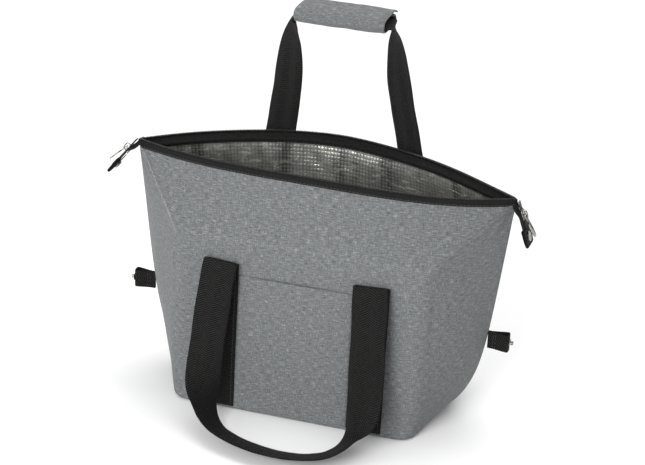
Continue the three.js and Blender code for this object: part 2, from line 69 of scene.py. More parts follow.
FABRIC_TOP = 0.2500
LINING_TOP = 0.2470
TAPE_BOTTOM = 0.2494             # lower edge of the tape folded over the cut fabric
TAPE_SEAM = 0.2507
FACING_BOTTOM = 0.2452           # lower edge of the binding inside the mouth
FACING_SEAM = 0.2464
FACING_TURN = (0.2485, 0.2530)   # where the binding turns over the foam towards the zip
FABRIC = 0.0009                  # thickness of the outer fabric
FOAM_DEPTH = 0.0013              # depth of the foam below the outer surface
LINING_DEPTH = 0.0058
WEBBING_WIDTH = 0.038
WEBBING = 0.0014
STRAP_SPACING = 0.082            # half the distance between the legs of a handle
STRAP_TOP = 0.166
PATCH_BOTTOM = 0.0035            # lower edge of the straps and the pocket
CLOTH_GIRTH = 0.23               # nominal half girth, which turns places into metres of cloth
TOOTH_PITCH = 0.0015

SIDES = {"front": -1, "back": 1}
ENDS = {"left": -1, "right": 1}


def mix(a, b, t):
    return a + (b - a) * t


def smoothstep(low, high, value):
    t = np.clip((value - low) / (high - low), 0, 1)
    return t * t * (3 - 2 * t)


def bell(value, width):
    return np.exp(-(value / width) ** 2)


def noise_at(points, scale, seed):
    """Smooth noise of about -1 to 1 at each row of an array of points."""
    shape = points.shape[:-1]
    shift = Vector((seed * 7.31, seed * 3.17, seed * 5.77))
    flat = points.reshape(-1, 3) / scale
    return np.array([noise.noise(Vector(p) + shift) for p in flat]).reshape(shape)


# ---- Meshes ---------------------------------------------------------------------------------
def new_object(name, vertices, faces, uvs=None, smooth=True):
    """uvs holds one pair for each corner of each face, in order."""
    mesh = bpy.data.meshes.new(name)
    mesh.from_pydata([tuple(v) for v in vertices], [], faces)
    if uvs is not None:
        layer = mesh.uv_layers.new(name="UVMap")
        layer.data.foreach_set("uv", np.asarray(uvs, np.float32).ravel())
    if smooth:
        mesh.shade_smooth()
    mesh.update()
    piece = bpy.data.objects.new(name, mesh)
    bpy.context.scene.collection.objects.link(piece)
    return piece


def finish_piece(piece, material, body, replaces=()):
    piece.data.materials.clear()
    piece.data.materials.append(material)
    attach(piece, body)
    if replaces:
        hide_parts(*replaces)
    return piece


def looks_inwards(vertices, faces):
    """True if the faces of a closed mesh look inwards."""
    volume = 0.0
    for face in faces:
        a = vertices[face[0]]
        for b, c in zip(face[1:-1], face[2:]):
            volume += np.dot(a, np.cross(vertices[b], vertices[c]))
    return volume < 0


def closed_object(name, vertices, faces, uvs=None):
    """A closed mesh, with its faces turned outwards if they look inwards."""
    vertices = np.asarray(vertices, float)
    if uvs is None:
        uvs = np.zeros((sum(len(face) for face in faces), 2))
    if looks_inwards(vertices, faces):
        order = []
        start = 0
        for face in faces:
            order.extend(range(start + len(face) - 1, start - 1, -1))
            start += len(face)
        uvs = np.asarray(uvs)[order]
        faces = [face[::-1] for face in faces]
    return new_object(name, vertices, faces, uvs)


def ring_cells(count, size, start=0):
    """Faces between closed rings of points, numbered one ring after another."""
    cells = []
    for low in range(start, start + (count - 1) * size, size):
        for k in range(size):
            n = (k + 1) % size
            cells.append([low + k, low + n, low + size + n, low + size + k])
    return cells


def capped_cells(count, size, start=0):
    """The faces between rings, and one over each of the end rings."""
    last = start + (count - 1) * size
    caps = [list(range(start, start + size))[::-1], list(range(last, last + size))]
    return ring_cells(count, size, start) + caps


def thick_sheet(name, outer, inner, uv):
    """A closed sheet between two grids of points of the same shape, with uv for each point."""
    rows, columns = outer.shape[:2]
    count = rows * columns
    index = np.arange(count).reshape(rows, columns)
    a, b, c, d = index[:-1, :-1], index[:-1, 1:], index[1:, 1:], index[1:, :-1]
    front = np.stack([a, b, c, d], -1).reshape(-1, 4)
    back = np.stack([d, c, b, a], -1).reshape(-1, 4) + count
    loop = np.concatenate([index[0, :-1], index[:-1, -1], index[-1, :0:-1], index[:0:-1, 0]])
    following = np.roll(loop, -1)
    rim = np.stack([following, loop, loop + count, following + count], -1)
    faces = np.concatenate([front, back, rim])
    vertices = np.concatenate([outer.reshape(-1, 3), inner.reshape(-1, 3)])
    flat_uv = np.concatenate([uv.reshape(-1, 2)] * 2)
    return closed_object(name, vertices, faces.tolist(), flat_uv[faces.ravel()])


def sweep(name, rings, u, v):
    """Closed rings skinned along a path. u has one value more than a ring has points."""
    rings = np.asarray(rings)
    count, size = rings.shape[:2]
    uvs = []
    for i in range(count - 1):
        for k in range(size):
            uvs += [(u[k], v[i]), (u[k + 1], v[i]), (u[k + 1], v[i + 1]), (u[k], v[i + 1])]
    for i, order in ((0, -1), (count - 1, 1)):
        uvs += [(u[k], v[i]) for k in range(size)[::order]]
    return closed_object(name, rings.reshape(-1, 3), capped_cells(count, size), uvs)


def smooth_path(stops, count):
    """Catmull-Rom points through rows of stops, evenly spaced in the stops' own index."""
    stops = np.asarray(stops, float)
    padded = np.vstack([2 * stops[0] - stops[1], stops, 2 * stops[-1] - stops[-2]])
    where = np.linspace(0, len(stops) - 1, count)
    i = np.minimum(where.astype(int), len(stops) - 2)
    t = (where - i)[:, None]
    p0, p1, p2, p3 = (padded[i + k] for k in range(4))
    return 0.5 * (2 * p1 + (p2 - p0) * t + (2 * p0 - 5 * p1 + 4 * p2 - p3) * t**2
                  + (3 * p1 - p0 - 3 * p2 + p3) * t**3)


def unit(vectors):
    return vectors / np.linalg.norm(vectors, axis=-1, keepdims=True)


def path_run(path):
    """The distance along a path to each of its points."""
    return np.concatenate([[0], np.cumsum(np.linalg.norm(np.diff(path, axis=0), axis=1))])


def sampled(stations, run, rows):
    """Points or normals of a path, read off at other distances along it."""
    return np.stack([np.interp(stations, run, column) for column in rows.T], -1)


def ribbon_frames(path, facing):
    along = unit(np.gradient(path, axis=0))
    side = unit(np.cross(along, facing))
    out = np.cross(side, along)
    return side, out, path_run(path)


def ribbon_section(width, thickness, points=15):
    """The cross section of a strap: rounded edges and a slightly crowned face."""
    across = np.linspace(-1, 1, points)
    half = thickness / 2 * (1 - 0.75 * np.abs(across) ** 14)
    crown = 0.00015 * (1 - across**2)
    top = np.stack([across * width / 2, half + crown], -1)
    bottom = np.stack([across * width / 2, crown - half], -1)[::-1]
    return np.concatenate([top, bottom])


def ribbon(name, path, facing, width=WEBBING_WIDTH, thickness=WEBBING):
    side, out, length = ribbon_frames(path, facing)
    section = ribbon_section(width, thickness)
    rings = [place + np.outer(section[:, 0], s) + np.outer(section[:, 1], o)
             for place, s, o in zip(path, side, out)]
    u = np.append(section[:, 0], section[0, 0]) + width / 2
    return sweep(name, rings, u, length)


def stitch_row(points, normals, length=0.0030, gap=0.0011, radius=0.00028):
    """Vertices and faces of a row of thread dashes along a line, half sunk in the surface."""
    run = path_run(points)
    pitch = length + gap
    vertices = []
    faces = []
    sides = 6
    for k in range(int(run[-1] / pitch)):
        stations = k * pitch + gap / 2 + length * np.array([0, 0.18, 0.5, 0.82, 1])
        swell = np.array([0.35, 0.9, 1.05, 0.9, 0.35])
        centre = sampled(stations, run, points)
        up = unit(sampled(stations, run, normals))
        across = unit(np.cross(unit(np.gradient(centre, axis=0)), up))
        base = len(vertices)
        for c, n, a, s in zip(centre, up, across, swell):
            for angle in np.arange(sides) * 2 * math.pi / sides:
                offset = a * math.cos(angle) + n * math.sin(angle)
                vertices.append(c + offset * radius * s + n * radius * (0.7 * s - 0.4))
        faces += capped_cells(len(swell), sides, base)
    return vertices, faces


def stitches(name, rows, material, body, slot, **sizes):
    """One piece holding the thread dashes of several rows, each a pair of points and normals."""
    vertices = []
    faces = []
    for points, normals in rows:
        more, cells = stitch_row(np.asarray(points), np.asarray(normals), **sizes)
        faces += [[index + len(vertices) for index in cell] for cell in cells]
        vertices += more
    piece = new_object(name, vertices, faces)
    return finish_piece(piece, material, body)


# ---- Shader building --------------------------------------------------------------------------
class Shader:
    """A material with short helpers for its nodes."""

    def __init__(self, name, **sockets):
        self.material = bpy.data.materials.new(name)
        self.material.use_nodes = True
        self.nodes = self.material.node_tree.nodes
        self.links = self.material.node_tree.links
        self.bsdf = self.nodes["Principled BSDF"]
        for socket, value in sockets.items():
            self.bsdf.inputs[socket.replace("_", " ")].default_value = value

    def link(self, source, target):
        if isinstance(source, bpy.types.NodeSocket):
            self.links.new(source, target)
        else:
            target.default_value = source

    def coordinates(self, kind):
        return self.nodes.new("ShaderNodeTexCoord").outputs[kind]

    def scaled(self, vector, scale):
        node = self.nodes.new("ShaderNodeMapping")
        self.link(vector, node.inputs["Vector"])
        node.inputs["Scale"].default_value = scale
        return node.outputs["Vector"]

    def noise(self, vector, detail=2.0, rough=0.5):
        node = self.nodes.new("ShaderNodeTexNoise")
        self.link(vector, node.inputs["Vector"])
        node.inputs["Scale"].default_value = 1.0
        node.inputs["Detail"].default_value = detail
        node.inputs["Roughness"].default_value = rough
        return node.outputs["Fac"]

    def cloth_noise(self, across, upward, **settings):
        """Noise on the cloth's own grain, with so many cells a metre each way."""
        return self.noise(self.scaled(self.coordinates("UV"), (across, upward, 1)), **settings)

    def grain(self, cells, **settings):
        """Noise through the object, with so many cells a metre."""
        return self.noise(self.scaled(self.coordinates("Object"), (cells, cells, cells)), **settings)

    def sine(self, value, rate):
        return self.math("SINE", self.math("MULTIPLY", value, rate))

    def math(self, operation, a, b=0.0):
        node = self.nodes.new("ShaderNodeMath")
        node.operation = operation
        self.link(a, node.inputs[0])
        self.link(b, node.inputs[1])
        return node.outputs[0]

    def parts(self, vector):
        node = self.nodes.new("ShaderNodeSeparateXYZ")
        self.link(vector, node.inputs[0])
        return node.outputs

    def range(self, value, low, high, to_low, to_high):
        node = self.nodes.new("ShaderNodeMapRange")
        self.link(value, node.inputs["Value"])
        limits = {"From Min": low, "From Max": high, "To Min": to_low, "To Max": to_high}
        for name, number in limits.items():
            node.inputs[name].default_value = number
        return node.outputs["Result"]

    def ramp(self, value, stops):
        node = self.nodes.new("ShaderNodeValToRGB")
        self.link(value, node.inputs["Fac"])
        while len(node.color_ramp.elements) < len(stops):
            node.color_ramp.elements.new(0.5)
        for element, (place, colour) in zip(node.color_ramp.elements, stops):
            element.position = place
            element.color = (*colour, 1)
        return node.outputs["Color"]

    def bump(self, height, strength, distance, under=None):
        node = self.nodes.new("ShaderNodeBump")
        node.inputs["Strength"].default_value = strength
        node.inputs["Distance"].default_value = distance
        self.link(height, node.inputs["Height"])
        if under is not None:
            self.link(under, node.inputs["Normal"])
        return node.outputs["Normal"]

    def to(self, socket, source):
        self.links.new(source, self.bsdf.inputs[socket])


def grey(value, warm=0.0):
    return (value * (1 + warm), value, value * (1 - warm))


def melange_fabric():
    """Woven polyester of mixed light and dark yarns: short streaks along both thread directions."""
    s = Shader("grey_melange_fabric", Roughness=0.92, Sheen_Weight=0.12, Sheen_Roughness=0.4)
    weft = s.cloth_noise(140, 1300, detail=2, rough=0.5)
    warp = s.cloth_noise(1300, 180, detail=2, rough=0.5)
    streaks = s.math("ADD", s.math("MULTIPLY", weft, 0.58), s.math("MULTIPLY", warp, 0.42))
    # Painted highlight: a point attribute lightens the colour along the fold and the creases, where light
    # catches the folded cloth.
    crease_highlight = s.nodes.new("ShaderNodeAttribute")
    crease_highlight.attribute_name = "tone_mask"
    highlighted_streaks = s.math("ADD", streaks, s.math("MULTIPLY", crease_highlight.outputs["Fac"], 0.20))
    s.to("Base Color", s.ramp(highlighted_streaks, [
        (0.34, (0.060, 0.065, 0.068)),
        (0.45, (0.104, 0.110, 0.113)),
        (0.55, (0.142, 0.148, 0.149)),
        (0.70, (0.290, 0.297, 0.297)),
    ]))
    x, y, _ = s.parts(s.coordinates("UV"))
    threads = 2 * math.pi / 0.0011
    weave = s.math("MULTIPLY", s.sine(x, threads),
                   s.sine(y, threads))
    cloth = s.bump(weave, 0.35, 0.0002)
    s.to("Normal", s.bump(streaks, 0.25, 0.0003, cloth))
    return s.material


def webbing_fabric():
    """Polypropylene webbing: chevron ribs across a few lengthwise bands."""
    s = Shader("black_webbing", Roughness=0.62, Specular_IOR_Level=0.11)
    x, y, _ = s.parts(s.coordinates("UV"))
    zigzag = s.math("PINGPONG", x, 0.0095)
    slanted = s.math("ADD", y, s.math("MULTIPLY", zigzag, 0.55))
    ribs = s.sine(slanted, 2 * math.pi / 0.0025)
    yarns = s.math("ABSOLUTE", s.sine(x, math.pi / 0.0019))
    height = s.math("ADD", ribs, s.math("MULTIPLY", yarns, 0.5))
    fuzz = s.cloth_noise(500, 160, detail=3)
    lit = s.math("MULTIPLY", s.range(ribs, -1, 1, 0, 1), 0.55)
    s.to("Base Color", s.ramp(s.math("ADD", lit, s.math("MULTIPLY", fuzz, 0.45)), [
        (0.20, grey(0.003)), (0.50, grey(0.006)), (0.82, grey(0.028, 0.03))]))
    s.to("Normal", s.bump(height, 0.9, 0.0005))
    return s.material


def tape_fabric():
    """Close woven zip tape and binding."""
    s = Shader("black_zip_tape", Roughness=0.6, Specular_IOR_Level=0.12)
    x, y, _ = s.parts(s.coordinates("UV"))
    ribs = s.sine(x, 2 * math.pi / 0.0011)
    rows = s.sine(y, 2 * math.pi / 0.0011)
    height = s.math("MULTIPLY", ribs, rows)
    fuzz = s.cloth_noise(400, 400, detail=3)
    s.to("Base Color", s.ramp(fuzz, [(0.3, grey(0.004)), (0.7, grey(0.012, 0.03))]))
    s.to("Normal", s.bump(height, 0.5, 0.0003))
    return s.material


def thread(name, value):
    s = Shader(name, Roughness=0.7, Sheen_Weight=0.2)
    twist = s.grain(900, detail=2)
    s.to("Base Color", s.ramp(twist, [(0.3, grey(value * 0.6)), (0.7, grey(value))]))
    return s.material


def coil_plastic():
    s = Shader("black_coil", Roughness=0.35, Coat_Weight=0.1)
    tone_mask = s.grain(300, detail=3)
    s.to("Base Color", s.ramp(tone_mask, [(0.35, grey(0.008)), (0.7, grey(0.022))]))
    s.to("Roughness", s.range(tone_mask, 0.3, 0.7, 0.28, 0.5))
    return s.material


def nickel(name, roughness):
    s = Shader(name, Metallic=1.0, Base_Color=(0.34, 0.33, 0.31, 1))
    tone_mask = s.grain(420, detail=4, rough=0.6)
    s.to("Base Color", s.ramp(tone_mask, [(0.3, (0.17, 0.165, 0.155)), (0.6, (0.38, 0.37, 0.345))]))
    s.to("Roughness", s.range(tone_mask, 0.3, 0.75, roughness, roughness + 0.2))
    s.to("Normal", s.bump(tone_mask, 0.15, 0.0002))
    return s.material


def foil():
    """Metallised film embossed with a fine square grid and crinkled by folding."""
    s = Shader("embossed_foil", Metallic=0.75, Roughness=0.4)
    x, y, _ = s.parts(s.coordinates("UV"))
    pitch = 0.0038
    wave_x = s.math("ABSOLUTE", s.sine(x, math.pi / pitch))
    wave_y = s.math("ABSOLUTE", s.sine(y, math.pi / pitch))
    dots = s.math("MULTIPLY", wave_x, wave_y)
    crinkle = s.cloth_noise(110, 70, detail=5, rough=0.62)
    fine = s.cloth_noise(520, 330, detail=3, rough=0.6)
    # Painted shade: long upright bands of noise darken the foil's colour, in place of the shade in the film's
    # upright folds.
    folds = s.cloth_noise(42, 2.5, detail=3, rough=0.55)
    # Painted glints: these spots lighten the colour towards white as well as making the film glossier there.
    glint = s.range(s.cloth_noise(60, 190, detail=3, rough=0.6), 0.56, 0.63, 0, 1)
    tone = s.math("ADD", s.math("MULTIPLY", dots, 0.30), s.math("MULTIPLY", crinkle, 0.2))
    tone_with_fold_shade = s.math("ADD", tone, s.math("MULTIPLY", s.range(folds, 0.36, 0.56, 0, 1), 0.34))
    s.to("Base Color", s.ramp(s.math("ADD", tone_with_fold_shade, s.math("MULTIPLY", glint, 0.5)), [
        (0.18, (0.13, 0.132, 0.122)),
        (0.45, (0.40, 0.402, 0.38)),
        (0.70, (0.56, 0.562, 0.535)),
        (1.00, (0.95, 0.95, 0.92)),
    ]))
    s.to("Roughness", s.range(glint, 0, 1, 0.42, 0.14))
    embossed = s.bump(dots, 0.55, 0.0006)
    folded = s.bump(crinkle, 0.5, 0.0030, embossed)
    s.to("Normal", s.bump(fine, 0.3, 0.0010, folded))
    return s.material


def foam():
    s = Shader("white_foam", Roughness=0.9, Subsurface_Weight=0.0)
    cells = s.grain(900, detail=3)
    s.to("Base Color", s.ramp(cells, [(0.3, (0.70, 0.70, 0.67)), (0.7, (0.86, 0.86, 0.83))]))
    s.to("Normal", s.bump(cells, 0.3, 0.0005))
    return s.material


def floor_paint():
    s = Shader("pale_floor", Roughness=0.6)
    tone = s.grain(3, detail=2)
    s.to("Base Color", s.ramp(tone, [(0.3, (0.92, 0.92, 0.92)), (0.7, (0.94, 0.94, 0.94))]))
    return s.material


FABRIC_LOOK = melange_fabric()
WEBBING_LOOK = webbing_fabric()
TAPE_LOOK = tape_fabric()
GREY_THREAD = thread("grey_thread", 0.26)
BLACK_THREAD = thread("black_thread", 0.03)
COIL_LOOK = coil_plastic()
NICKEL_LOOK = nickel("polished_nickel", 0.14)
FOIL_LOOK = foil()
FOAM_LOOK = foam()


# ---- The wall of the bag ----------------------------------------------------------------------
MIDDLE = 0.60                    # share of a half section up to where its corner arc starts
ARC = 0.68                       # share up to where the arc ends and the end face starts
ARC_MIDDLE = mix(MIDDLE, ARC, 0.5)


def ridge_reach(height):
    """How far out the seam of each end stands: it swells out above the base and then rises straight."""
    base_reach = 0.143
    swell = 0.036
    straight = MOUTH_HALF_LENGTH + 0.001 - base_reach - swell
    return base_reach + swell * (1 - np.exp(-height / 0.028)) + straight * height / CORNER_HEIGHT


def plain_wall(side, heights, places, depth):
    """Points of half a section at each height, from the left seam (-1) to the right seam (1)."""
    h = np.asarray(heights, float)[:, None]
    q = np.asarray(places, float)[None, :]
    depth = np.broadcast_to(np.asarray(depth, float), h.shape)
    above = FOLD_SOFTNESS * np.log1p(np.exp((h - FOLD_HEIGHT) / FOLD_SOFTNESS))
    low = (h - above) / FOLD_HEIGHT
    rise = above / (CORNER_HEIGHT - FOLD_HEIGHT)
    wall_x = mix(BASE_LENGTH / 2, FOLD_HALF_LENGTH, low)
    crease_x = mix(wall_x, MOUTH_HALF_LENGTH - 0.002, rise) - depth
    fold_y = mix(BASE_DEPTH / 2, FOLD_DEPTH[side], low)
    crease_y = np.maximum(mix(fold_y, CORNER_HALF_GAP, rise) - depth, 0.0004)
    middle_y = mix(fold_y, RIM_BULGE[side], rise) - depth
    seam_x = ridge_reach(h) - depth * (1 + 0.6 * h / CORNER_HEIGHT)
    radius = mix(mix(CORNER_RADIUS, FOLD_CORNER_RADIUS, low), 0.0006, np.clip(rise, 0, 1) ** 1.5)
    limit = 1 - radius / crease_x

    def profile(t):
        fullness = (1 - np.abs(t) ** RIM_ROUNDNESS[side]) * (1 + RIM_SKEW[side] * t)
        y = crease_y + (middle_y - crease_y) * fullness
        return np.stack([crease_x * t, y, h + RIM_RISE * rise * (1 - t * t)], -1)

    sign = np.sign(q) + (q == 0)
    away = np.abs(q)
    middle = profile(limit * np.clip(q / MIDDLE, -1, 1))
    corner = profile(sign * np.ones_like(h))
    after = profile(sign * limit)
    seam = np.stack(np.broadcast_arrays(sign * seam_x, 0.00015, h), -1)
    span = np.linalg.norm(seam - corner, axis=-1, keepdims=True)
    before = mix(corner, seam, np.minimum(radius[..., None] / span, 0.4))
    a = np.clip((away - MIDDLE) / (ARC - MIDDLE), 0, 1)[..., None]
    arc = (1 - a) ** 2 * after + 2 * a * (1 - a) * corner + a**2 * before
    b = np.clip((away - ARC) / (1 - ARC), 0, 1)[..., None]
    end = mix(before, seam, b)
    far = np.broadcast_to(away[..., None], middle.shape)
    points = np.where(far <= MIDDLE, middle, np.where(far <= ARC, arc, end))
    return points * np.array([1, SIDES[side], 1])


def outward(points, side):
    """Unit normals of a grid of wall points, looking out of the bag."""
    down = np.gradient(points, axis=0)
    across = np.gradient(points, axis=1)
    normal = unit(np.cross(across, down) + 1e-12)
    return normal * (1 if side == "front" else -1)


def cloth_grid(heights, places):
    """Heights as a column, places as a row, and the flat cloth points they make, for noise."""
    h = np.asarray(heights, float)[:, None]
    q = np.asarray(places, float)[None, :]
    return h, q, np.stack(np.broadcast_arrays(q * CLOTH_GIRTH, h, 0.0), -1)


def softness(side, heights, places):
    """How far the fabric stands off its plain shape: slack, crease lines and pulled-in seams."""
    h, q, flat = cloth_grid(heights, places)
    seed = 1 if side == "front" else 2
    broad = noise_at(flat, 0.085, seed) * 0.0021
    small = noise_at(flat * np.array([1, 0.8, 1]), 0.034, seed + 10) * 0.0007
    away = np.abs(q)
    free = smoothstep(0, 0.05, 1 - away) * smoothstep(0, 0.030, h) * smoothstep(0, 0.018, FABRIC_TOP - h)
    slack = (broad + small) * free
    end = np.clip((away - ARC) / (1 - ARC), 0, 1)
    pillow = 0.0042 * np.sin(math.pi * end) * smoothstep(0.02, 0.13, h) * smoothstep(0, 0.12, 0.25 - h)
    rise = np.clip((h - FOLD_HEIGHT) / (CORNER_HEIGHT - FOLD_HEIGHT), 0, 1)
    on_fold = bell(h - FOLD_HEIGHT, 0.0032) * (away < ARC)
    fold = 0.0005 * on_fold * (0.7 + 0.5 * noise_at(flat, 0.05, seed + 20))
    crease_depth = mix(0.0018, 0.0002, q > 0)
    crease = crease_depth * bell((away - ARC_MIDDLE) * CLOTH_GIRTH, 0.0030) * smoothstep(0, 0.1, rise)
    tall = flat * np.array([1, 0.25, 1])
    sway = 0.0030 * noise_at(tall, 0.10, seed + 40) * rise * smoothstep(0, 0.3, MIDDLE - away)
    ripple = 0.0005 * np.sin(q * CLOTH_GIRTH * 2 * math.pi / 0.031 + 3 * noise_at(flat, 0.08, seed + 30))
    ripple = ripple * bell(h - 0.228, 0.012) * free
    seam = -0.0011 * bell((1 - away) * 0.24, 0.0016)
    under = np.clip(1 - h / 0.005, 0, 1)
    tuck = -0.005 * (1 - np.sqrt(1 - under**2 * 0.9))
    return slack + pillow + fold + crease + ripple + seam + tuck + sway


def wall(side, heights, places, depth, extra=0.0):
    """Wall points with the fabric's softness. A positive extra stands further into the bag."""
    points = plain_wall(side, heights, places, depth)
    normal = outward(plain_wall(side, heights, places, 0.0), side)
    offset = softness(side, heights, places) - extra
    points = points + normal * offset[..., None]
    for _ in range(2):
        points[1:-1] = points[1:-1] * 0.5 + (points[:-2] + points[2:]) * 0.25
    return points


def fold_crease_highlight(heights, places):
    """Painted highlight: how much the colour is lightened along the fold and along the creases up to the
    mouth corners, most on the left crease.
    """
    h, q, flat = cloth_grid(heights, places)
    away = np.abs(q)
    broken = 0.7 + 0.5 * noise_at(flat, 0.02, 90)
    above = smoothstep(FOLD_HEIGHT - 0.004, FOLD_HEIGHT + 0.002, h)
    crease = bell((away - ARC_MIDDLE) * CLOTH_GIRTH, 0.0015) * above
    fold = 0.22 * bell(h - FOLD_HEIGHT, 0.0012) * (away < ARC_MIDDLE)
    return np.maximum(crease * mix(1.0, 0.12, q > 0), fold) * broken


def wall_uv(points, heights):
    """The straight grain of the cloth: the distance along each row from its middle, and the height."""
    steps = np.linalg.norm(np.diff(points, axis=1), axis=-1)
    run = np.concatenate([np.zeros((len(points), 1)), np.cumsum(steps, axis=1)], axis=1)
    girth = run - run[:, [run.shape[1] // 2]]
    return np.stack(np.broadcast_arrays(girth, np.asarray(heights, float)[:, None]), -1)


def full_width(count=230):
    """Places along a half section, closer together at the corner arcs."""
    knots = [-1, -ARC, -MIDDLE, MIDDLE, ARC, 1]
    weights = np.array([0.19, 0.07, 0.48, 0.07, 0.19])
    steps = np.maximum((weights * count).astype(int), 4)
    runs = [np.linspace(a, b, n, endpoint=False) for a, b, n in zip(knots[:-1], knots[1:], steps)]
    return np.append(np.concatenate(runs), 1.0)


def wall_layer(name, side, heights, places, depth, thickness, extra=0.0):
    outer = wall(side, heights, places, depth, extra)
    inner = wall(side, heights, places, depth + thickness, extra)
    return thick_sheet(name, outer, inner, wall_uv(outer, heights))


def outer_shell(side):
    heights = np.concatenate([np.linspace(0.0006, 0.006, 8), np.linspace(0.0082, FABRIC_TOP, 150)])
    places = full_width(300)
    piece = wall_layer(f"{side}_outer_shell", side, heights, places, 0.0, FABRIC)
    # Painted highlight along the fold and the creases, stored on the points of both faces for the fabric
    # colour.
    tone_mask = piece.data.attributes.new("tone_mask", "FLOAT", "POINT")
    tone_mask.data.foreach_set("value", np.tile(fold_crease_highlight(heights, places).ravel(), 2).astype(np.float32))
    finish_piece(piece, FABRIC_LOOK, "bag", [f"{side}_outer_fabric"])


def base_outline(depth, count=260):
    """Points round the base at a depth inside its edge."""
    places = np.linspace(-1, 1, count // 2)
    front = plain_wall("front", [0.0], places, depth)[0]
    back = plain_wall("back", [0.0], places, depth)[0][::-1]
    return np.concatenate([front, back[1:-1]])


def base_sheet(name, level, thickness, depth, material, replaced, sag):
    """A flat panel with the base's outline, made of rings shrinking to its middle."""
    shares = np.concatenate([[1.0, 0.995, 0.985], np.linspace(0.96, 0.06, 22)])
    outline = base_outline(depth)
    outline[:, 2] = 0
    rings = np.stack([outline * share for share in shares])
    seed = 3 + int(depth * 1000)
    bumps = noise_at(rings, 0.06, seed) * sag * (1 - shares[:, None] ** 6)
    top = rings.copy()
    top[..., 2] = level + thickness + np.abs(bumps)
    bottom = rings.copy()
    bottom[..., 2] = level + np.abs(bumps) * (level > 0)
    layers = np.concatenate([top[::-1], bottom])
    faces = capped_cells(len(layers), len(outline))
    flat = layers.reshape(-1, 3)
    uvs = flat[np.concatenate(faces)][:, :2]
    piece = closed_object(name, flat, faces, uvs)
    finish_piece(piece, material, "bag", replaced)


def lining_crinkle(heights, places, seed):
    """How far the film stands in from its plain shape: sharp little folds and long upright ones."""
    h, q, flat = cloth_grid(heights, places)
    flat = flat * np.array([1, 0.6, 1])
    broad = np.abs(noise_at(flat, 0.022, seed)) * 0.0022
    fine = np.abs(noise_at(flat, 0.008, seed + 1)) * 0.0007
    upright = np.abs(noise_at(flat * np.array([1, 0.2, 1]), 0.014, seed + 2)) * 0.0016
    edge = smoothstep(0, 0.02, 1 - np.abs(q)) * smoothstep(0, 0.012, LINING_TOP - h)
    return (broad + fine + upright) * edge


def build_lining():
    heights = np.linspace(0.0064, LINING_TOP, 150)
    places = full_width(320)
    for side, seed in (("front", 41), ("back", 47)):
        extra = lining_crinkle(heights, places, seed)
        piece = wall_layer(f"{side}_foil_layer", side, heights, places, LINING_DEPTH, 0.0005, extra)
        finish_piece(piece, FOIL_LOOK, "bag", [f"{side}_foil_lining"])


def build_foam():
    body = np.linspace(0.0060, 0.1912, 60)
    yoke = np.linspace(0.1930, LINING_TOP, 18)
    whole = np.append(body, yoke)
    flat = np.linspace(-MIDDLE, MIDDLE, 90)
    panels = [(f"{side}_{name}", side, rows, flat)
              for side in SIDES for name, rows in (("foam_sheet", body), ("yoke_foam", yoke))]
    for end, sign in ENDS.items():
        edge = np.linspace(sign * ARC, sign * 0.995, 30)
        panels += [(f"{side}_{end}_end_foam", side, whole, np.sort(edge)) for side in SIDES]
    for node, side, rows, places in panels:
        piece = wall_layer(f"{node}_layer", side, rows, places, FOAM_DEPTH, 0.0038)
        finish_piece(piece, FOAM_LOOK, "bag", [node])


def build_wall():
    for side in SIDES:
        outer_shell(side)
    base_sheet("base_panel", 0.0, 0.0009, 0.0025, FABRIC_LOOK, ["base_outer_fabric"], 0.0)
    base_sheet("base_foam_layer", 0.0012, 0.0038, 0.0018, FOAM_LOOK, ["base_foam_sheet"], 0.0001)
    base_sheet("base_foil_layer", 0.0055, 0.0004, 0.0062, FOIL_LOOK,
               ["base_foil_lining"], 0.0012)
    build_foam()
    build_lining()


# ---- Mouth ------------------------------------------------------------------------------------
def rim_line(side, places, height, depth, lift):
    """Points and outward normals along the rim."""
    heights = [height - 0.002, height]
    points = wall(side, heights, places, depth)
    normal = outward(plain_wall(side, heights, places, 0.0), side)
    return points[1] + np.array([0, 0, lift]), normal[1]


def rim_band(side, name, node, heights, depth, thickness, bulges):
    """A band of tape round the mouth. bulges move its outer and its inner face into the bag."""
    places = full_width(300)
    outer = wall(side, heights, places, depth, bulges[0])
    inner = wall(side, heights, places, depth + thickness, bulges[1])
    piece = thick_sheet(f"{side}_{name}", outer, inner, wall_uv(outer, heights))
    finish_piece(piece, TAPE_LOOK, "bag", [f"{side}_{node}"])


def build_tape(side):
    """The zip tape doubled over the cut edge of the fabric, with a soft bulge across it."""
    heights = np.linspace(TAPE_BOTTOM, CORNER_HEIGHT + 0.0003, 12)
    share = np.linspace(0, 1, 12)[:, None]
    bulge = -0.0007 * np.sin(math.pi * share) ** 0.6 - 0.0001
    rim_band(side, "tape_band", "zip_tape", heights, 0.0, 0.0012, (bulge, bulge * 0.2))
    points, normals = rim_line(side, np.linspace(-0.985, 0.985, 260), TAPE_SEAM, -0.0006, 0)
    stitches(f"{side}_tape_stitches", [(points, normals)], BLACK_THREAD, "bag", "zip_tape")


def build_facing(side):
    """Binding over the top edge of the lining, turned over the foam up to the zip."""
    heights = np.linspace(FACING_BOTTOM, CORNER_HEIGHT - 0.0010, 16)
    turn = smoothstep(*FACING_TURN, heights)[:, None]
    depth = mix(0.0066, 0.0019, turn)
    roll = -0.0005 * np.sin(math.pi * np.linspace(0, 1, 16))[:, None]
    rim_band(side, "facing_band", "mouth_facing", heights, depth, 0.0010, (-roll, -roll))
    points, normals = rim_line(side, np.linspace(-0.93, 0.93, 240), FACING_SEAM, 0.0081, 0)
    stitches(f"{side}_facing_stitches", [(points, -normals)], BLACK_THREAD, "bag", "zip_tape")


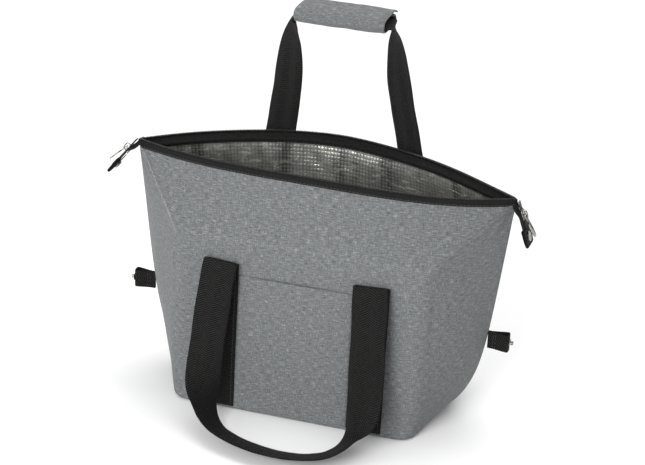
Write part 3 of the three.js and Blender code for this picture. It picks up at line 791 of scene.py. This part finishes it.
def coil_teeth(name, centres, across, along, body, replaced=()):
    """One arched wire turn at each centre, standing over the edge of the tape."""
    turns = np.linspace(-0.15 * math.pi, 1.15 * math.pi, 7)
    wire = 0.00045
    vertices = []
    faces = []
    for centre, a, t in zip(centres, across, along):
        up = np.cross(t, a)
        up = up if up[2] > 0 or abs(up[2]) < 0.3 else -up
        base = len(vertices)
        for j, angle in enumerate(turns):
            radial = a * math.cos(angle) * 1.25 + up * math.sin(angle) * 0.9
            middle = centre + radial * 0.0009 + t * 0.0003 * (j / 3 - 1)
            for k in range(6):
                turn = k * math.pi / 3
                vertices.append(middle + (radial * math.cos(turn) + t * math.sin(turn)) * wire)
        faces += capped_cells(len(turns), 6, base)
    piece = new_object(name, vertices, faces)
    return finish_piece(piece, COIL_LOOK, body, replaced)


def build_teeth(side):
    fine = np.linspace(-0.985, 0.985, 700)
    points, normals = rim_line(side, fine, CORNER_HEIGHT, 0.0014, 0.0006)
    run = path_run(points)
    stations = np.arange(0, run[-1], TOOTH_PITCH)
    centres = sampled(stations, run, points)
    across = unit(sampled(stations, run, normals))
    along = unit(np.gradient(centres, axis=0))
    across = unit(across - along * (across * along).sum(-1, keepdims=True))
    coil_teeth(f"{side}_teeth_coil", centres, across, along, "bag", [f"{side}_zip_teeth"])


def build_mouth():
    for side in SIDES:
        build_tape(side)
        build_facing(side)
        build_teeth(side)


# ---- Pieces sewn to the body ------------------------------------------------------------------
SKIN_HEIGHTS = np.linspace(0.0006, FABRIC_TOP, 112)
SKIN_PLACES = np.linspace(-MIDDLE, MIDDLE, 120)
SKINS = {side: wall(side, SKIN_HEIGHTS, SKIN_PLACES, 0.0) for side in SIDES}


def skin_reach(side, x, z):
    """How far out the fabric stands at each x and z of its flat front or back."""
    skin = SKINS[side]
    by_row = np.stack([np.interp(x.ravel(), row[:, 0], np.abs(row[:, 1])) for row in skin])
    where = np.interp(z.ravel(), skin[:, 60, 2], np.arange(len(skin)))
    low = np.minimum(where.astype(int), len(skin) - 2)
    column = np.arange(x.size)
    return mix(by_row[low, column], by_row[low + 1, column], where - low).reshape(x.shape)


def patch(name, side, centre, width, bottom, top, thickness, lift):
    """A flat piece laid on the fabric. lift holds how far each point stands off it."""
    rows = 90
    columns = 50
    spread = centre + np.linspace(-0.5, 0.5, columns) * width
    z, x = np.meshgrid(np.linspace(bottom, top, rows), spread, indexing="ij")
    across = np.abs(np.linspace(-1, 1, columns))[None, :]
    upward = np.abs(np.linspace(-1, 1, rows))[:, None]
    rounding = 1 - 0.8 * np.maximum(across ** 40, upward ** 70)
    reach = skin_reach(side, x, z) + lift(across, np.linspace(0, 1, rows)[:, None])
    sign = SIDES[side]
    inner = np.stack([x, sign * reach, z], -1)
    outer = np.stack([x, sign * (reach + thickness * rounding), z], -1)
    return thick_sheet(name, outer, inner, np.stack([x - centre, z], -1))


def sewn_lines(side, lines, stand_off):
    """Rows for stitches: each line is a pair of (x, z) ends on the front or back."""
    rows = []
    for (x0, z0), (x1, z1) in lines:
        x = np.linspace(x0, x1, 40)
        z = np.linspace(z0, z1, 40)
        points = np.stack([x, SIDES[side] * (skin_reach(side, x, z) + stand_off), z], -1)
        rows.append((points, np.tile([0.0, SIDES[side], 0.0], (40, 1))))
    return rows


def build_sewn_straps(side):
    for end, sign in ENDS.items():
        centre = sign * STRAP_SPACING
        name = f"{side}_{end}_sewn_strap"
        piece = patch(f"{name}_webbing", side, centre, WEBBING_WIDTH, PATCH_BOTTOM, STRAP_TOP + 0.0012,
                      WEBBING, lambda across, upward: 0.0003 + 0 * across * upward)
        finish_piece(piece, WEBBING_LOOK, "bag", [name])
        half = WEBBING_WIDTH / 2 - 0.003
        left, right, low, high = centre - half, centre + half, STRAP_TOP - 0.034, STRAP_TOP - 0.003
        box = [((left, low), (right, low)), ((left, high), (right, high)),
               ((left, low), (right, high)), ((right, low), (left, high))]
        sides = [((x, 0.006), (x, high)) for x in (left, right)]
        stitches(f"{name}_stitches", sewn_lines(side, box + sides, WEBBING + 0.0005), BLACK_THREAD,
                 "bag", "black_webbing")


def build_pocket():
    width = 2 * STRAP_SPACING - WEBBING_WIDTH - 0.0004
    top = 0.1552
    gape = 0.0016

    def lift(across, upward):
        return 0.0003 + gape * (1 - across**2) * smoothstep(0.86, 1, upward)

    piece = patch("pocket_panel", "front", 0.0, width, PATCH_BOTTOM, top, 0.0011, lift)
    finish_piece(piece, FABRIC_LOOK, "bag", ["front_pocket_panel"])
    half = width / 2 - 0.001
    hem = [((-half, top - 0.012), (half, top - 0.012))]
    stitches("pocket_hem_stitches", sewn_lines("front", hem, 0.0018), GREY_THREAD, "bag", "grey_fabric",
             radius=0.00018, length=0.0026)


# ---- Handles ----------------------------------------------------------------------------------
# Each stop of a handle: where the middle of the webbing passes, and where its face looks.
FRONT_HANDLE = [
    ((-0.0810, -0.0820, 0.1695), (0, -0.3, 1)),
    ((-0.0815, -0.0870, 0.1675), (0, -1, 0.4)),
    ((-0.0830, -0.0930, 0.1480), (0, -1, 0)),
    ((-0.0850, -0.1000, 0.1180), (0, -1, 0)),
    ((-0.0870, -0.1070, 0.0840), (0.05, -1, 0)),
    ((-0.0875, -0.1150, 0.0520), (0.3, -0.95, 0.1)),
    ((-0.0840, -0.1270, 0.0285), (0.85, -0.5, 0.25)),
    ((-0.0690, -0.1450, 0.0150), (0.7, 0.05, 0.7)),
    ((-0.0460, -0.1600, 0.0100), (0.2, 0.34, 0.92)),
    ((-0.0120, -0.1710, 0.0080), (0, 0.34, 0.94)),
    ((0.0220, -0.1745, 0.0078), (0, 0.32, 0.95)),
    ((0.0520, -0.1670, 0.0080), (-0.1, 0.32, 0.95)),
    ((0.0710, -0.1510, 0.0105), (-0.5, 0.1, 0.85)),
    ((0.0835, -0.1320, 0.0205), (-0.8, -0.5, 0.45)),
    ((0.0895, -0.1190, 0.0420), (-0.3, -1, 0.2)),
    ((0.0880, -0.1070, 0.0800), (0, -1, 0)),
    ((0.0860, -0.1000, 0.1180), (0, -1, 0)),
    ((0.0840, -0.0920, 0.1480), (0, -1, 0)),
    ((0.0825, -0.0870, 0.1660), (0, -1, 0.4)),
    ((0.0820, -0.0820, 0.1685), (0, -0.3, 1)),
]
GRIP_Y = 0.078
GRIP_Z = 0.396
GRIP_X = -0.007
BACK_HANDLE = [
    ((-0.0820, 0.0818, 0.1674), (0, -1, 0)),
    ((-0.0810, 0.0830, 0.2000), (-0.08, -1, 0)),
    ((-0.0785, 0.0820, 0.2350), (-0.22, -1, 0)),
    ((-0.0745, 0.0820, 0.2680), (-0.3, -1, 0)),
    ((-0.0705, 0.0810, 0.3000), (-0.36, -1, 0)),
    ((-0.0675, 0.0800, 0.3320), (-0.42, -0.95, 0)),
    ((-0.0655, 0.0790, 0.3600), (-0.6, -0.8, 0.05)),
    ((-0.0625, GRIP_Y, 0.3810), (-0.8, -0.45, 0.2)),
    ((-0.0595, GRIP_Y, GRIP_Z - 0.003), (-0.5, 0, 0.8)),
    ((-0.0420, GRIP_Y, GRIP_Z), (0, 0, 1)),
    ((GRIP_X, GRIP_Y, GRIP_Z), (0, 0, 1)),
    ((0.0260, GRIP_Y, GRIP_Z), (0, 0, 1)),
    ((0.0435, GRIP_Y, GRIP_Z - 0.0005), (0.2, 0, 0.95)),
    ((0.0495, GRIP_Y, 0.3860), (0.8, 0.5, 0.35)),
    ((0.0515, 0.0790, 0.3660), (0.68, 0.73, 0.05)),
    ((0.0545, 0.0800, 0.3360), (0.54, 0.84, 0)),
    ((0.0605, 0.0810, 0.3020), (0.5, 0.87, 0)),
    ((0.0675, 0.0820, 0.2680), (0.5, 0.87, 0)),
    ((0.0745, 0.0820, 0.2350), (0.4, 0.92, 0)),
    ((0.0805, 0.0830, 0.2000), (0.15, 1, 0)),
    ((0.0820, 0.0818, 0.1674), (0, 1, 0)),
]


def build_handle(side, stops):
    """A webbing ribbon swept along the stops, a little wavy away from its sewn ends."""
    path = smooth_path([place for place, _ in stops], 420)
    facing = smooth_path([face for _, face in stops], 420)
    share = np.linspace(0, 1, len(path))[:, None]
    loose = smoothstep(0, 0.1, share) * smoothstep(0, 0.1, 1 - share) * smoothstep(0.008, 0.03, path[:, 2:])
    seed, wave = (81, 1.0) if side == "front" else (85, 0.35)
    path = path + unit(facing) * noise_at(path, 0.028, seed)[:, None] * 0.0014 * wave * loose
    facing = facing + np.array([1.0, 0, 0]) * noise_at(path, 0.035, seed + 1)[:, None] * 0.16 * wave * loose
    piece = ribbon(f"{side}_handle", path, facing)
    piece.data.materials.append(WEBBING_LOOK)
    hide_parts(f"{side}_handle_webbing")
    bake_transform(piece)


def build_handles():
    build_handle("front", FRONT_HANDLE)
    build_handle("back", BACK_HANDLE)


# ---- Grip wrap --------------------------------------------------------------------------------
WRAP_LENGTH = 0.100
WRAP_DEPTH = 0.044
WRAP_HEIGHT = 0.0115
WRAP_WALL = 0.0018


def wrap_outline(degrees, radius):
    """Points round a flat-sided oval: 0 faces back, 90 up and 180 front."""
    angle = np.radians(degrees)
    straight = (WRAP_DEPTH - WRAP_HEIGHT) / 2
    shift = straight * np.tanh(4 * np.cos(angle)) / math.tanh(4)
    return np.stack([shift + radius * np.cos(angle), radius * np.sin(angle)], -1)


def wrap_sheet(name, degrees, lift, seed, tip=0.0):
    """Padded cloth bent round the webbing: puffed between its edges and a little creased."""
    rows = len(degrees)
    columns = 90
    along = np.linspace(-1, 1, columns)
    inward = np.minimum(1 - np.abs(along)[None, :], 0.9)
    turn = np.linspace(0, 1, rows)[:, None]
    edge = np.clip(np.minimum(np.minimum(turn, 1 - turn) / 0.05, inward / 0.05), 0, 1)
    puff = np.sqrt(1 - (1 - edge) ** 2)
    crowned = 0.0006 * (1 - along[None, :] ** 4)
    grid = np.stack(np.broadcast_arrays(along[None, :] * 0.05, turn * 0.06, 0.0), -1)
    creased = 0.0005 * noise_at(grid, 0.012, seed) + 0.0004 * noise_at(grid, 0.03, seed + 1)
    curl = tip * smoothstep(0.55, 1, along)[None, :] * (1 - smoothstep(0, 0.22, turn))
    outer_radius = WRAP_HEIGHT / 2 + lift[:, None] + crowned + creased + curl
    half = WRAP_WALL * (0.2 + 0.8 * puff) / 2
    middle = outer_radius - WRAP_WALL / 2
    flat = np.repeat(np.asarray(degrees)[:, None], columns, 1)
    outer = wrap_outline(flat, middle + half)
    inner = wrap_outline(flat, middle - half)
    rounded = 1 - 0.012 * (1 - np.sin(math.pi * turn) ** 0.5)
    x = np.broadcast_to(GRIP_X + along[None, :] * rounded * WRAP_LENGTH / 2, flat.shape)

    def placed(section):
        return np.stack([x, GRIP_Y + section[..., 0], GRIP_Z + section[..., 1]], -1)

    arc = np.concatenate([[0], np.cumsum(np.abs(np.diff(np.radians(degrees)) * 0.014))])
    uv = np.stack(np.broadcast_arrays(x, arc[:, None]), -1)
    return thick_sheet(name, placed(outer), placed(inner), uv)


def wrap_edge_line(degrees, radius, inset):
    along = np.linspace(-1, 1, 60) * (WRAP_LENGTH / 2 - inset)
    y, z = wrap_outline(np.array(float(degrees)), radius)
    points = np.stack([GRIP_X + along, np.full(60, GRIP_Y + y), np.full(60, GRIP_Z + z)], -1)
    angle = math.radians(degrees)
    return points, np.tile([0.0, math.cos(angle), math.sin(angle)], (60, 1))


def build_wrap():
    around = np.linspace(184, 438, 110)
    base = wrap_sheet("grip_base_pad", around, np.zeros(110), 61)
    finish_piece(base, FABRIC_LOOK, "back_handle", ["grip_wrap_base"])
    over = np.linspace(20, 183, 90)
    lift = mix(0.0046, 0.0021, smoothstep(85, 180, over))
    flap = wrap_sheet("grip_flap_pad", over, lift, 67, tip=0.0026)
    finish_piece(flap, FABRIC_LOOK, "wrap_flap", ["grip_wrap_flap"])
    rows = [wrap_edge_line(27, WRAP_HEIGHT / 2 + 0.0052, 0.004)]
    stitches("grip_flap_stitches", rows, GREY_THREAD, "wrap_flap", "grey_fabric", radius=0.0002)
    gap = 0.00035
    strip = 0.0008
    for node, body, level in (("grip_wrap_loop_strip", "back_handle", gap),
                              ("grip_wrap_hook_strip", "wrap_flap", 2 * gap + strip)):
        grip_strip(node, body, WRAP_HEIGHT / 2 + level, strip)


def grip_strip(node, body, level, thickness):
    """Hook or loop tape with a short rough pile."""
    y, x = np.meshgrid(np.linspace(-0.008, 0.008, 34), np.linspace(-0.044, 0.044, 150), indexing="ij")
    edge = np.maximum(np.abs(y / 0.008) ** 30, np.abs(x / 0.044) ** 60)
    pile = np.abs(noise_at(np.stack([x, y, 0 * x], -1), 0.0011, 71)) * 0.00025
    top = np.stack([x + GRIP_X, y + GRIP_Y + 0.007, GRIP_Z + level + thickness * (1 - 0.5 * edge) - pile], -1)
    bottom = top.copy()
    bottom[..., 2] = GRIP_Z + level
    piece = thick_sheet(f"{node}_tape", top, bottom, np.stack([x, y], -1))
    finish_piece(piece, TAPE_LOOK, body, [node])


# ---- Metal fittings ---------------------------------------------------------------------------
def lathe(name, profile, segments=40):
    """A turned piece about Z from (radius, height) pairs, the first and last on the axis."""
    angles = np.arange(segments) * 2 * math.pi / segments
    vertices = [(0, 0, profile[0][1])]
    for radius, height in profile[1:-1]:
        vertices += [(radius * math.cos(a), radius * math.sin(a), height) for a in angles]
    vertices.append((0, 0, profile[-1][1]))
    last = len(vertices) - 1
    rings = len(profile) - 2
    faces = []
    for k in range(segments):
        n = (k + 1) % segments
        faces.append([0, 1 + n, 1 + k])
        faces.append([last, 1 + (rings - 1) * segments + k, 1 + (rings - 1) * segments + n])
        for i in range(rings - 1):
            a = 1 + i * segments
            faces.append([a + k, a + n, a + segments + n, a + segments + k])
    return closed_object(name, vertices, faces)


def softened(profile, steps=3, cut=0.28):
    """A profile with its inner corners rounded off."""
    points = [np.array(p, float) for p in profile]
    for _ in range(steps):
        rounded = [points[0]]
        for a, b in zip(points[:-1], points[1:]):
            rounded += [mix(a, b, cut), mix(a, b, 1 - cut)]
        points = rounded + [points[-1]]
    return [(max(p[0], 0.0), p[1]) for p in points]


def rounded_plate(name, outline, hole, thickness, bevel=0.0003):
    """A flat plate between an outline and a hole with as many points, with softened edges."""
    outline = np.asarray(outline, float)
    hole = np.asarray(hole, float)
    half = thickness / 2
    across = unit(hole - outline)
    loops = []
    for base, direction in ((outline, across), (hole, -across)):
        ring = [(0.0, -half + bevel), (0.3 * bevel, -half + 0.3 * bevel), (bevel, -half)]
        ring = ring if base is hole else ring[::-1]
        mirrored = [(inset, -z) for inset, z in ring[::-1]]
        loops += [(base + direction * inset, z) for inset, z in
                  (ring[::-1] + mirrored[::-1] if base is hole else ring + mirrored)]
    vertices = [(p[0], p[1], z) for points, z in loops for p in points]
    cells = ring_cells(len(loops) + 1, len(outline))
    faces = [[index % len(vertices) for index in cell] for cell in cells]
    return closed_object(name, vertices, faces)


def tail_matrix(end):
    """The frame at a mouth corner whose +X runs down the zip tail."""
    droop = math.radians(TAIL_DROOP[end])
    corner = Matrix.Translation((ENDS[end] * (MOUTH_HALF_LENGTH + 0.001), 0, CORNER_HEIGHT))
    turn = Matrix.Rotation(math.pi if end == "left" else 0, 4, "Z")
    return corner @ turn @ Matrix.Rotation(droop, 4, "Y")


def move(piece, matrix):
    piece.data.transform(matrix)
    piece.data.update()


def stitch_line(matrix, line, facing):
    """A row for stitches on a fitting, from points and a direction in the fitting's own frame."""
    points = np.array([matrix @ Vector(p) for p in line])
    normal = np.array(matrix.to_3x3() @ Vector(facing))
    return points, np.tile(normal, (len(points), 1))


def turned_metal(name, profile, matrix, body, node):
    piece = lathe(name, softened(profile))
    move(piece, matrix)
    finish_piece(piece, NICKEL_LOOK, body, [node])


def squared(wave, power):
    """A sine or cosine pushed out towards its limits, which makes a circle squarer."""
    return np.sign(wave) * np.abs(wave) ** power


TAIL_LENGTH = 0.049
TAIL_HALF = 0.011
TAIL_THICK = 0.0014
TAIL_SKIN = TAIL_THICK / 2 + 0.00035     # inner face of what lies over the tail
COVER_THICK = 0.0009
SLIDER_PLACE = 0.017


def tail_surface(x, y):
    """The zip tape beyond the corner: folded down along its middle at first, then flat."""
    fold = 0.9 * (1 - smoothstep(0.002, 0.017, x))
    sag = 0.0006 * np.sin(x / TAIL_LENGTH * math.pi)
    return np.stack([x, y * np.cos(fold), sag - np.abs(y) * np.sin(fold)], -1)


def build_tail_tape(end):
    frame_at = tail_matrix(end)
    half_sheets = []
    for sign in (-1, 1):
        x, share = np.meshgrid(np.linspace(0.0006, TAIL_LENGTH - 0.0006, 60), np.linspace(0, 1, 18),
                               indexing="ij")
        inner = mix(0.0017, 0.0002, smoothstep(0.024, 0.029, x))
        outer = mix(0.0065, TAIL_HALF, smoothstep(0.002, 0.016, x))
        y = sign * mix(inner, outer, share)
        plane = tail_surface(x, y)
        bulk = TAIL_THICK / 2 * (1 - 0.6 * (2 * share - 1) ** 14)
        lift = np.stack([0 * x, 0 * x, bulk], -1)
        half_sheets.append(thick_sheet(f"{end}_tail_tape_{'near' if sign < 0 else 'far'}", plane + lift,
                                       plane - lift, np.stack([y, x], -1)))
    for k, piece in enumerate(half_sheets):
        move(piece, frame_at)
        finish_piece(piece, TAPE_LOOK, f"{end}_tail", [f"{end}_zip_tail"] if k == 0 else ())
    centres, across, along = [], [], []
    for sign in (-1, 1):
        for place in np.arange(0.0025, TAIL_LENGTH - 0.0175, TOOTH_PITCH):
            if abs(place - SLIDER_PLACE) < 0.0062:
                continue
            reach = 0.0021 if place < SLIDER_PLACE else 0.0012
            centres.append((place, sign * reach, TAIL_THICK / 2 + 0.0003))
            across.append((0, 1, 0))
            along.append((1, 0, 0))
    teeth = coil_teeth(f"{end}_tail_coil", np.array(centres), np.array(across, float),
                       np.array(along, float), f"{end}_tail")
    teeth.data.transform(frame_at)


def build_tail_cover(end):
    """Black fabric folded over the end of the zip and stitched through."""
    start = TAIL_LENGTH - 0.017
    middle = TAIL_SKIN + COVER_THICK / 2
    bend = np.radians(np.linspace(80, -80, 13))
    path = np.array([(x, middle) for x in np.linspace(start, TAIL_LENGTH, 26)]
                    + [(TAIL_LENGTH + middle * math.cos(a), middle * math.sin(a)) for a in bend]
                    + [(x, -middle) for x in np.linspace(TAIL_LENGTH, start, 26)])
    tangent = unit(np.gradient(path, axis=0))
    normal = np.stack([-tangent[:, 1], tangent[:, 0]], -1)
    normal *= -1 if normal[0, 1] < 0 else 1
    y = np.linspace(-1, 1, 36)
    tip = smoothstep(TAIL_LENGTH - 0.006, TAIL_LENGTH + 0.0015, path[:, 0])
    width = (TAIL_HALF + 0.0005) * (1 - 0.13 * tip)
    grid_y = width[:, None] * y[None, :]
    pinch = 0.00025 * np.abs(y[None, :]) ** 10
    ripple = 0.0001 * noise_at(np.stack([path[:, [0]] + 0 * y, grid_y, 0 * grid_y], -1), 0.004, 81)

    def face(offset):
        reach = offset - pinch + ripple
        x = path[:, [0]] + normal[:, [0]] * reach
        return np.stack([x, grid_y, path[:, [1]] + normal[:, [1]] * reach], -1)

    uv = np.stack(np.broadcast_arrays(grid_y, np.linspace(0, 0.036, len(path))[:, None]), -1)
    piece = thick_sheet(f"{end}_tail_end_cover", face(COVER_THICK / 2), face(-COVER_THICK / 2), uv)
    turn = tail_matrix(end)
    move(piece, turn)
    finish_piece(piece, WEBBING_LOOK, f"{end}_tail", [f"{end}_tail_cover"])
    rows = []
    for sign in (1, -1):
        level = sign * (TAIL_SKIN + COVER_THICK)
        line = [(start + 0.002, mix(-0.009, 0.009, t), level) for t in np.linspace(0, 1, 30)]
        rows.append(stitch_line(turn, line, (0, 0, sign)))
    stitches(f"{end}_tail_stitches", rows, BLACK_THREAD, f"{end}_tail", "black_webbing", radius=0.0002)


# Profiles of the snap parts: pairs of radius and height, from the seat up.
CAP = [(0, 0), (0.0055, 0), (0.0055, 0.0004), (0.0040, 0.0008), (0.0022, 0.0007), (0.0019, 0.0005),
       (0, 0.0005)]
SOCKET = [(0, 0), (0.0048, 0), (0.0048, 0.0009), (0.0038, 0.0020), (0.0026, 0.0021), (0.0024, 0.0009),
          (0, 0.0008)]
STUD = [(0, 0), (0.0044, 0), (0.0044, 0.0008), (0.0021, 0.0011), (0.0019, 0.0024), (0.0025, 0.0032),
        (0.0018, 0.0040), (0, 0.0040)]
RIVET = [(0, 0), (0.0029, 0), (0.0029, 0.0006), (0.0019, 0.0008), (0, 0.0008)]


def build_tail_snaps(end):
    reach = TAIL_SKIN + COVER_THICK + 0.0002
    over = Matrix.Translation((TAIL_LENGTH - 0.008, 0, reach))
    under = Matrix.Translation((TAIL_LENGTH - 0.008, 0, -reach)) @ Matrix.Rotation(math.pi, 4, "X")
    for part, profile, place in (("cap", CAP, over), ("socket", SOCKET, under)):
        turned_metal(f"{end}_snap_{part}_turned", profile, tail_matrix(end) @ place,
                     f"{end}_tail", f"{end}_tail_snap_{part}")


def slider_outline(count=48):
    """A slider seen from above: two shoulders towards the open side and a narrow closed side."""
    angle = np.arange(count) * 2 * math.pi / count
    x = 0.0055 * squared(np.cos(angle), 0.6)
    half = mix(0.0046, 0.0034, smoothstep(-0.003, 0.0055, x))
    y = half * squared(np.sin(angle), 0.55)
    notch = 0.0012 * np.exp(-(y / 0.0012) ** 2) * (x < -0.003)
    return np.stack([x + notch, y], -1)


def domed_plate(name, outline, low, high, dome=0.0004):
    """A solid plate with a softened edge and a slightly domed top."""
    shares = [(0.30, low), (0.97, low), (1.0, low + 0.0002), (1.0, high - 0.0004), (0.97, high - 0.00015),
              (0.90, high), (0.6, high + dome * 0.7), (0.25, high + dome)]
    count = len(outline)
    vertices = [(p[0] * s, p[1] * s, z) for s, z in shares for p in outline]
    vertices += [(0, 0, low), (0, 0, high + dome)]
    faces = ring_cells(len(shares), count)
    last = (len(shares) - 1) * count
    for k in range(count):
        n = (k + 1) % count
        faces.append([count * len(shares), n, k])
        faces.append([count * len(shares) + 1, last + k, last + n])
    return closed_object(name, vertices, faces)


def tube(name, path, radius, squash=1.0, sides=12):
    path = np.asarray(path, float)
    along = unit(np.gradient(path, axis=0))
    side = np.tile([0.0, 1.0, 0.0], (len(path), 1))
    out = np.cross(along, side)
    angles = np.arange(sides) * 2 * math.pi / sides
    rings = [p + np.outer(np.cos(angles) * radius, o) + np.outer(np.sin(angles) * radius * squash, s)
             for p, o, s in zip(path, out, side)]
    u = np.linspace(0, 1, sides + 1)
    return sweep(name, rings, u, np.linspace(0, 1, len(path)))


def build_slider(end):
    frame_at = tail_matrix(end) @ Matrix.Translation((SLIDER_PLACE, 0, 0))
    outline = slider_outline()
    top = domed_plate(f"{end}_slider_top", outline, TAIL_SKIN, 0.0023)
    under = domed_plate(f"{end}_slider_under", outline, -TAIL_SKIN - 0.0012, -TAIL_SKIN, dome=0.0)
    web = domed_plate(f"{end}_slider_wedge", outline * np.array([0.5, 0.26]),
                      -TAIL_SKIN - 0.0002, TAIL_SKIN + 0.0002, dome=0.0)
    bail_stops = [(-0.0042, 0, 0.0021), (-0.0043, 0, 0.0040), (-0.0036, 0, 0.0056), (-0.0016, 0, 0.0061),
                  (0.0016, 0, 0.0061), (0.0036, 0, 0.0056), (0.0043, 0, 0.0040), (0.0042, 0, 0.0021)]
    bail = tube(f"{end}_slider_bail", smooth_path(bail_stops, 40), 0.00062, squash=1.5)
    for k, piece in enumerate((top, under, web, bail)):
        move(piece, frame_at)
        finish_piece(piece, NICKEL_LOOK, f"{end}_slider", [f"{end}_zip_slider"] if k == 0 else ())


def build_pull(end):
    """A flat tongue with an eye, hanging on the bail."""
    count = 64
    angle = np.arange(count) * 2 * math.pi / count
    length = 0.026
    middle = length / 2 - 0.0004
    x = middle + (length / 2 + 0.0004) * squared(np.cos(angle), 0.45)
    half = mix(0.0026, 0.0036, smoothstep(0.006, 0.022, x)) - 0.0007 * bell(x - 0.0085, 0.0022)
    y = half * squared(np.sin(angle), 0.5)
    outline = np.stack([x, y], -1)
    hole = np.stack([0.0032 + 0.0025 * squared(np.cos(angle), 0.5),
                     0.0016 * squared(np.sin(angle), 0.5)], -1)
    piece = rounded_plate(f"{end}_pull_tongue", outline, hole, 0.0012)
    tilt = Matrix.Rotation(-math.radians(PULL_TILT), 4, "Y")
    move(piece, tail_matrix(end) @ Matrix.Translation((SLIDER_PLACE, 0, 0.0038)) @ tilt)
    finish_piece(piece, NICKEL_LOOK, f"{end}_pull", [f"{end}_zip_pull"])


# ---- Side tabs --------------------------------------------------------------------------------
TAB_HEIGHT = 0.091
TAB_WIDTH = 0.020
TAB_LENGTH = 0.021


def tab_matrix(end):
    root = float(ridge_reach(TAB_HEIGHT + TAB_WIDTH / 2)) + 0.0012
    return Matrix.Translation((ENDS[end] * root, 0, TAB_HEIGHT)) @ Matrix.Rotation(
        math.pi if end == "left" else 0, 4, "Z")


def build_side_tab(end):
    half = [(-0.0025, 0.0007), (0.003, 0.0009), (0.009, 0.0022), (0.015, 0.0036), (0.0188, 0.0042),
            (0.0203, 0.0030)]
    loop = half + [(0.0204, 0.0)] + [(x, -y) for x, y in half[::-1]]
    path = smooth_path([(x, y, 0) for x, y in loop], 120)
    tangent = unit(np.gradient(path, axis=0))
    facing = np.cross(tangent, [0, 0, 1.0])
    piece = ribbon(f"{end}_tab_loop", path, facing, TAB_WIDTH, 0.0012)
    frame_at = tab_matrix(end)
    move(piece, frame_at)
    finish_piece(piece, WEBBING_LOOK, f"{end}_tab", [f"{end}_side_tab"])
    rows = []
    for sign in (-1, 1):
        for place in (0.0035, 0.0060):
            reach = 0.0016 + 0.00022 * (place - 0.0035) / 0.001
            line = [(place, sign * reach, z) for z in np.linspace(-0.0085, 0.0085, 30)]
            rows.append(stitch_line(frame_at, line, (0, sign, 0)))
    stitches(f"{end}_tab_stitches", rows, BLACK_THREAD, f"{end}_tab", "black_webbing", radius=0.0002)
    for name, profile, x, turn, node in (
            ("tab_stud", STUD, TAB_LENGTH + 0.0002, math.pi / 2, "tab_snap_stud"),
            ("tab_rivet_turned", RIVET, TAB_LENGTH - 0.0014, -math.pi / 2, "tab_rivet")):
        place = frame_at @ Matrix.Translation((x, 0, 0)) @ Matrix.Rotation(turn, 4, "Y")
        turned_metal(f"{end}_{name}", profile, place, f"{end}_tab", f"{end}_{node}")


build_wall()
build_mouth()
for side_name in SIDES:
    build_sewn_straps(side_name)
build_pocket()
build_handles()
build_wrap()
for end_name in ENDS:
    build_tail_tape(end_name)
    build_tail_cover(end_name)
    build_tail_snaps(end_name)
    build_slider(end_name)
    build_pull(end_name)
    build_side_tab(end_name)


# ---- Stage, light and camera ------------------------------------------------------------------
def area_light(name, place, aim, size, power):
    light = bpy.data.lights.new(name, "AREA")
    light.shape = "RECTANGLE"
    light.size, light.size_y = size
    light.energy = power
    lamp = bpy.data.objects.new(name, light)
    lamp.location = place
    lamp.rotation_euler = (Vector(aim) - Vector(place)).to_track_quat("-Z", "Y").to_euler()
    bpy.context.scene.collection.objects.link(lamp)


def build_stage():
    size = 6.0
    floor = new_object("floor", [(-size, -size, 0), (size, -size, 0), (size, size, 0), (-size, size, 0)],
                       [[0, 1, 2, 3]], None, smooth=False)
    floor.location.z = -0.0004
    floor.data.materials.append(floor_paint())
    world = bpy.data.worlds.new("studio")
    world.use_nodes = True
    world.node_tree.nodes["Background"].inputs["Color"].default_value = (1, 1, 1, 1)
    world.node_tree.nodes["Background"].inputs["Strength"].default_value = 0.60
    bpy.context.scene.world = world
    area_light("key", (-0.35, -2.2, 1.0), (0, 0, 0.15), (1.3, 1.2), 50)
    area_light("top", (0.1, 0.9, 2.3), (0, 0, 0.1), (2.4, 2.0), 40)


def build_camera():
    """The viewing angle: from the front, turned towards the right end, looking down."""
    azimuth = math.radians(17.4)
    elevation = math.radians(24.4)
    roll = math.radians(2.2)
    distance = 2.428
    target = Vector((0, 0, 0.182))
    back = Vector((math.sin(azimuth) * math.cos(elevation), -math.cos(azimuth) * math.cos(elevation),
                   math.sin(elevation)))
    level = Vector((math.cos(azimuth), math.sin(azimuth), 0))
    upright = back.cross(level)
    right = level * math.cos(roll) + upright * math.sin(roll)
    up = upright * math.cos(roll) - level * math.sin(roll)
    camera = bpy.data.objects.new("camera", bpy.data.cameras.new("camera"))
    camera.data.lens = 127.7
    camera.data.sensor_width = 36
    camera.data.shift_x = 0.002
    camera.data.shift_y = -0.001
    camera.matrix_world = Matrix.Translation(target + back * distance) @ Matrix(
        (right, up, back)).transposed().to_4x4()
    bpy.context.scene.collection.objects.link(camera)
    bpy.context.scene.camera = camera


build_stage()
build_camera()
bpy.context.scene.view_settings.view_transform = "Standard"
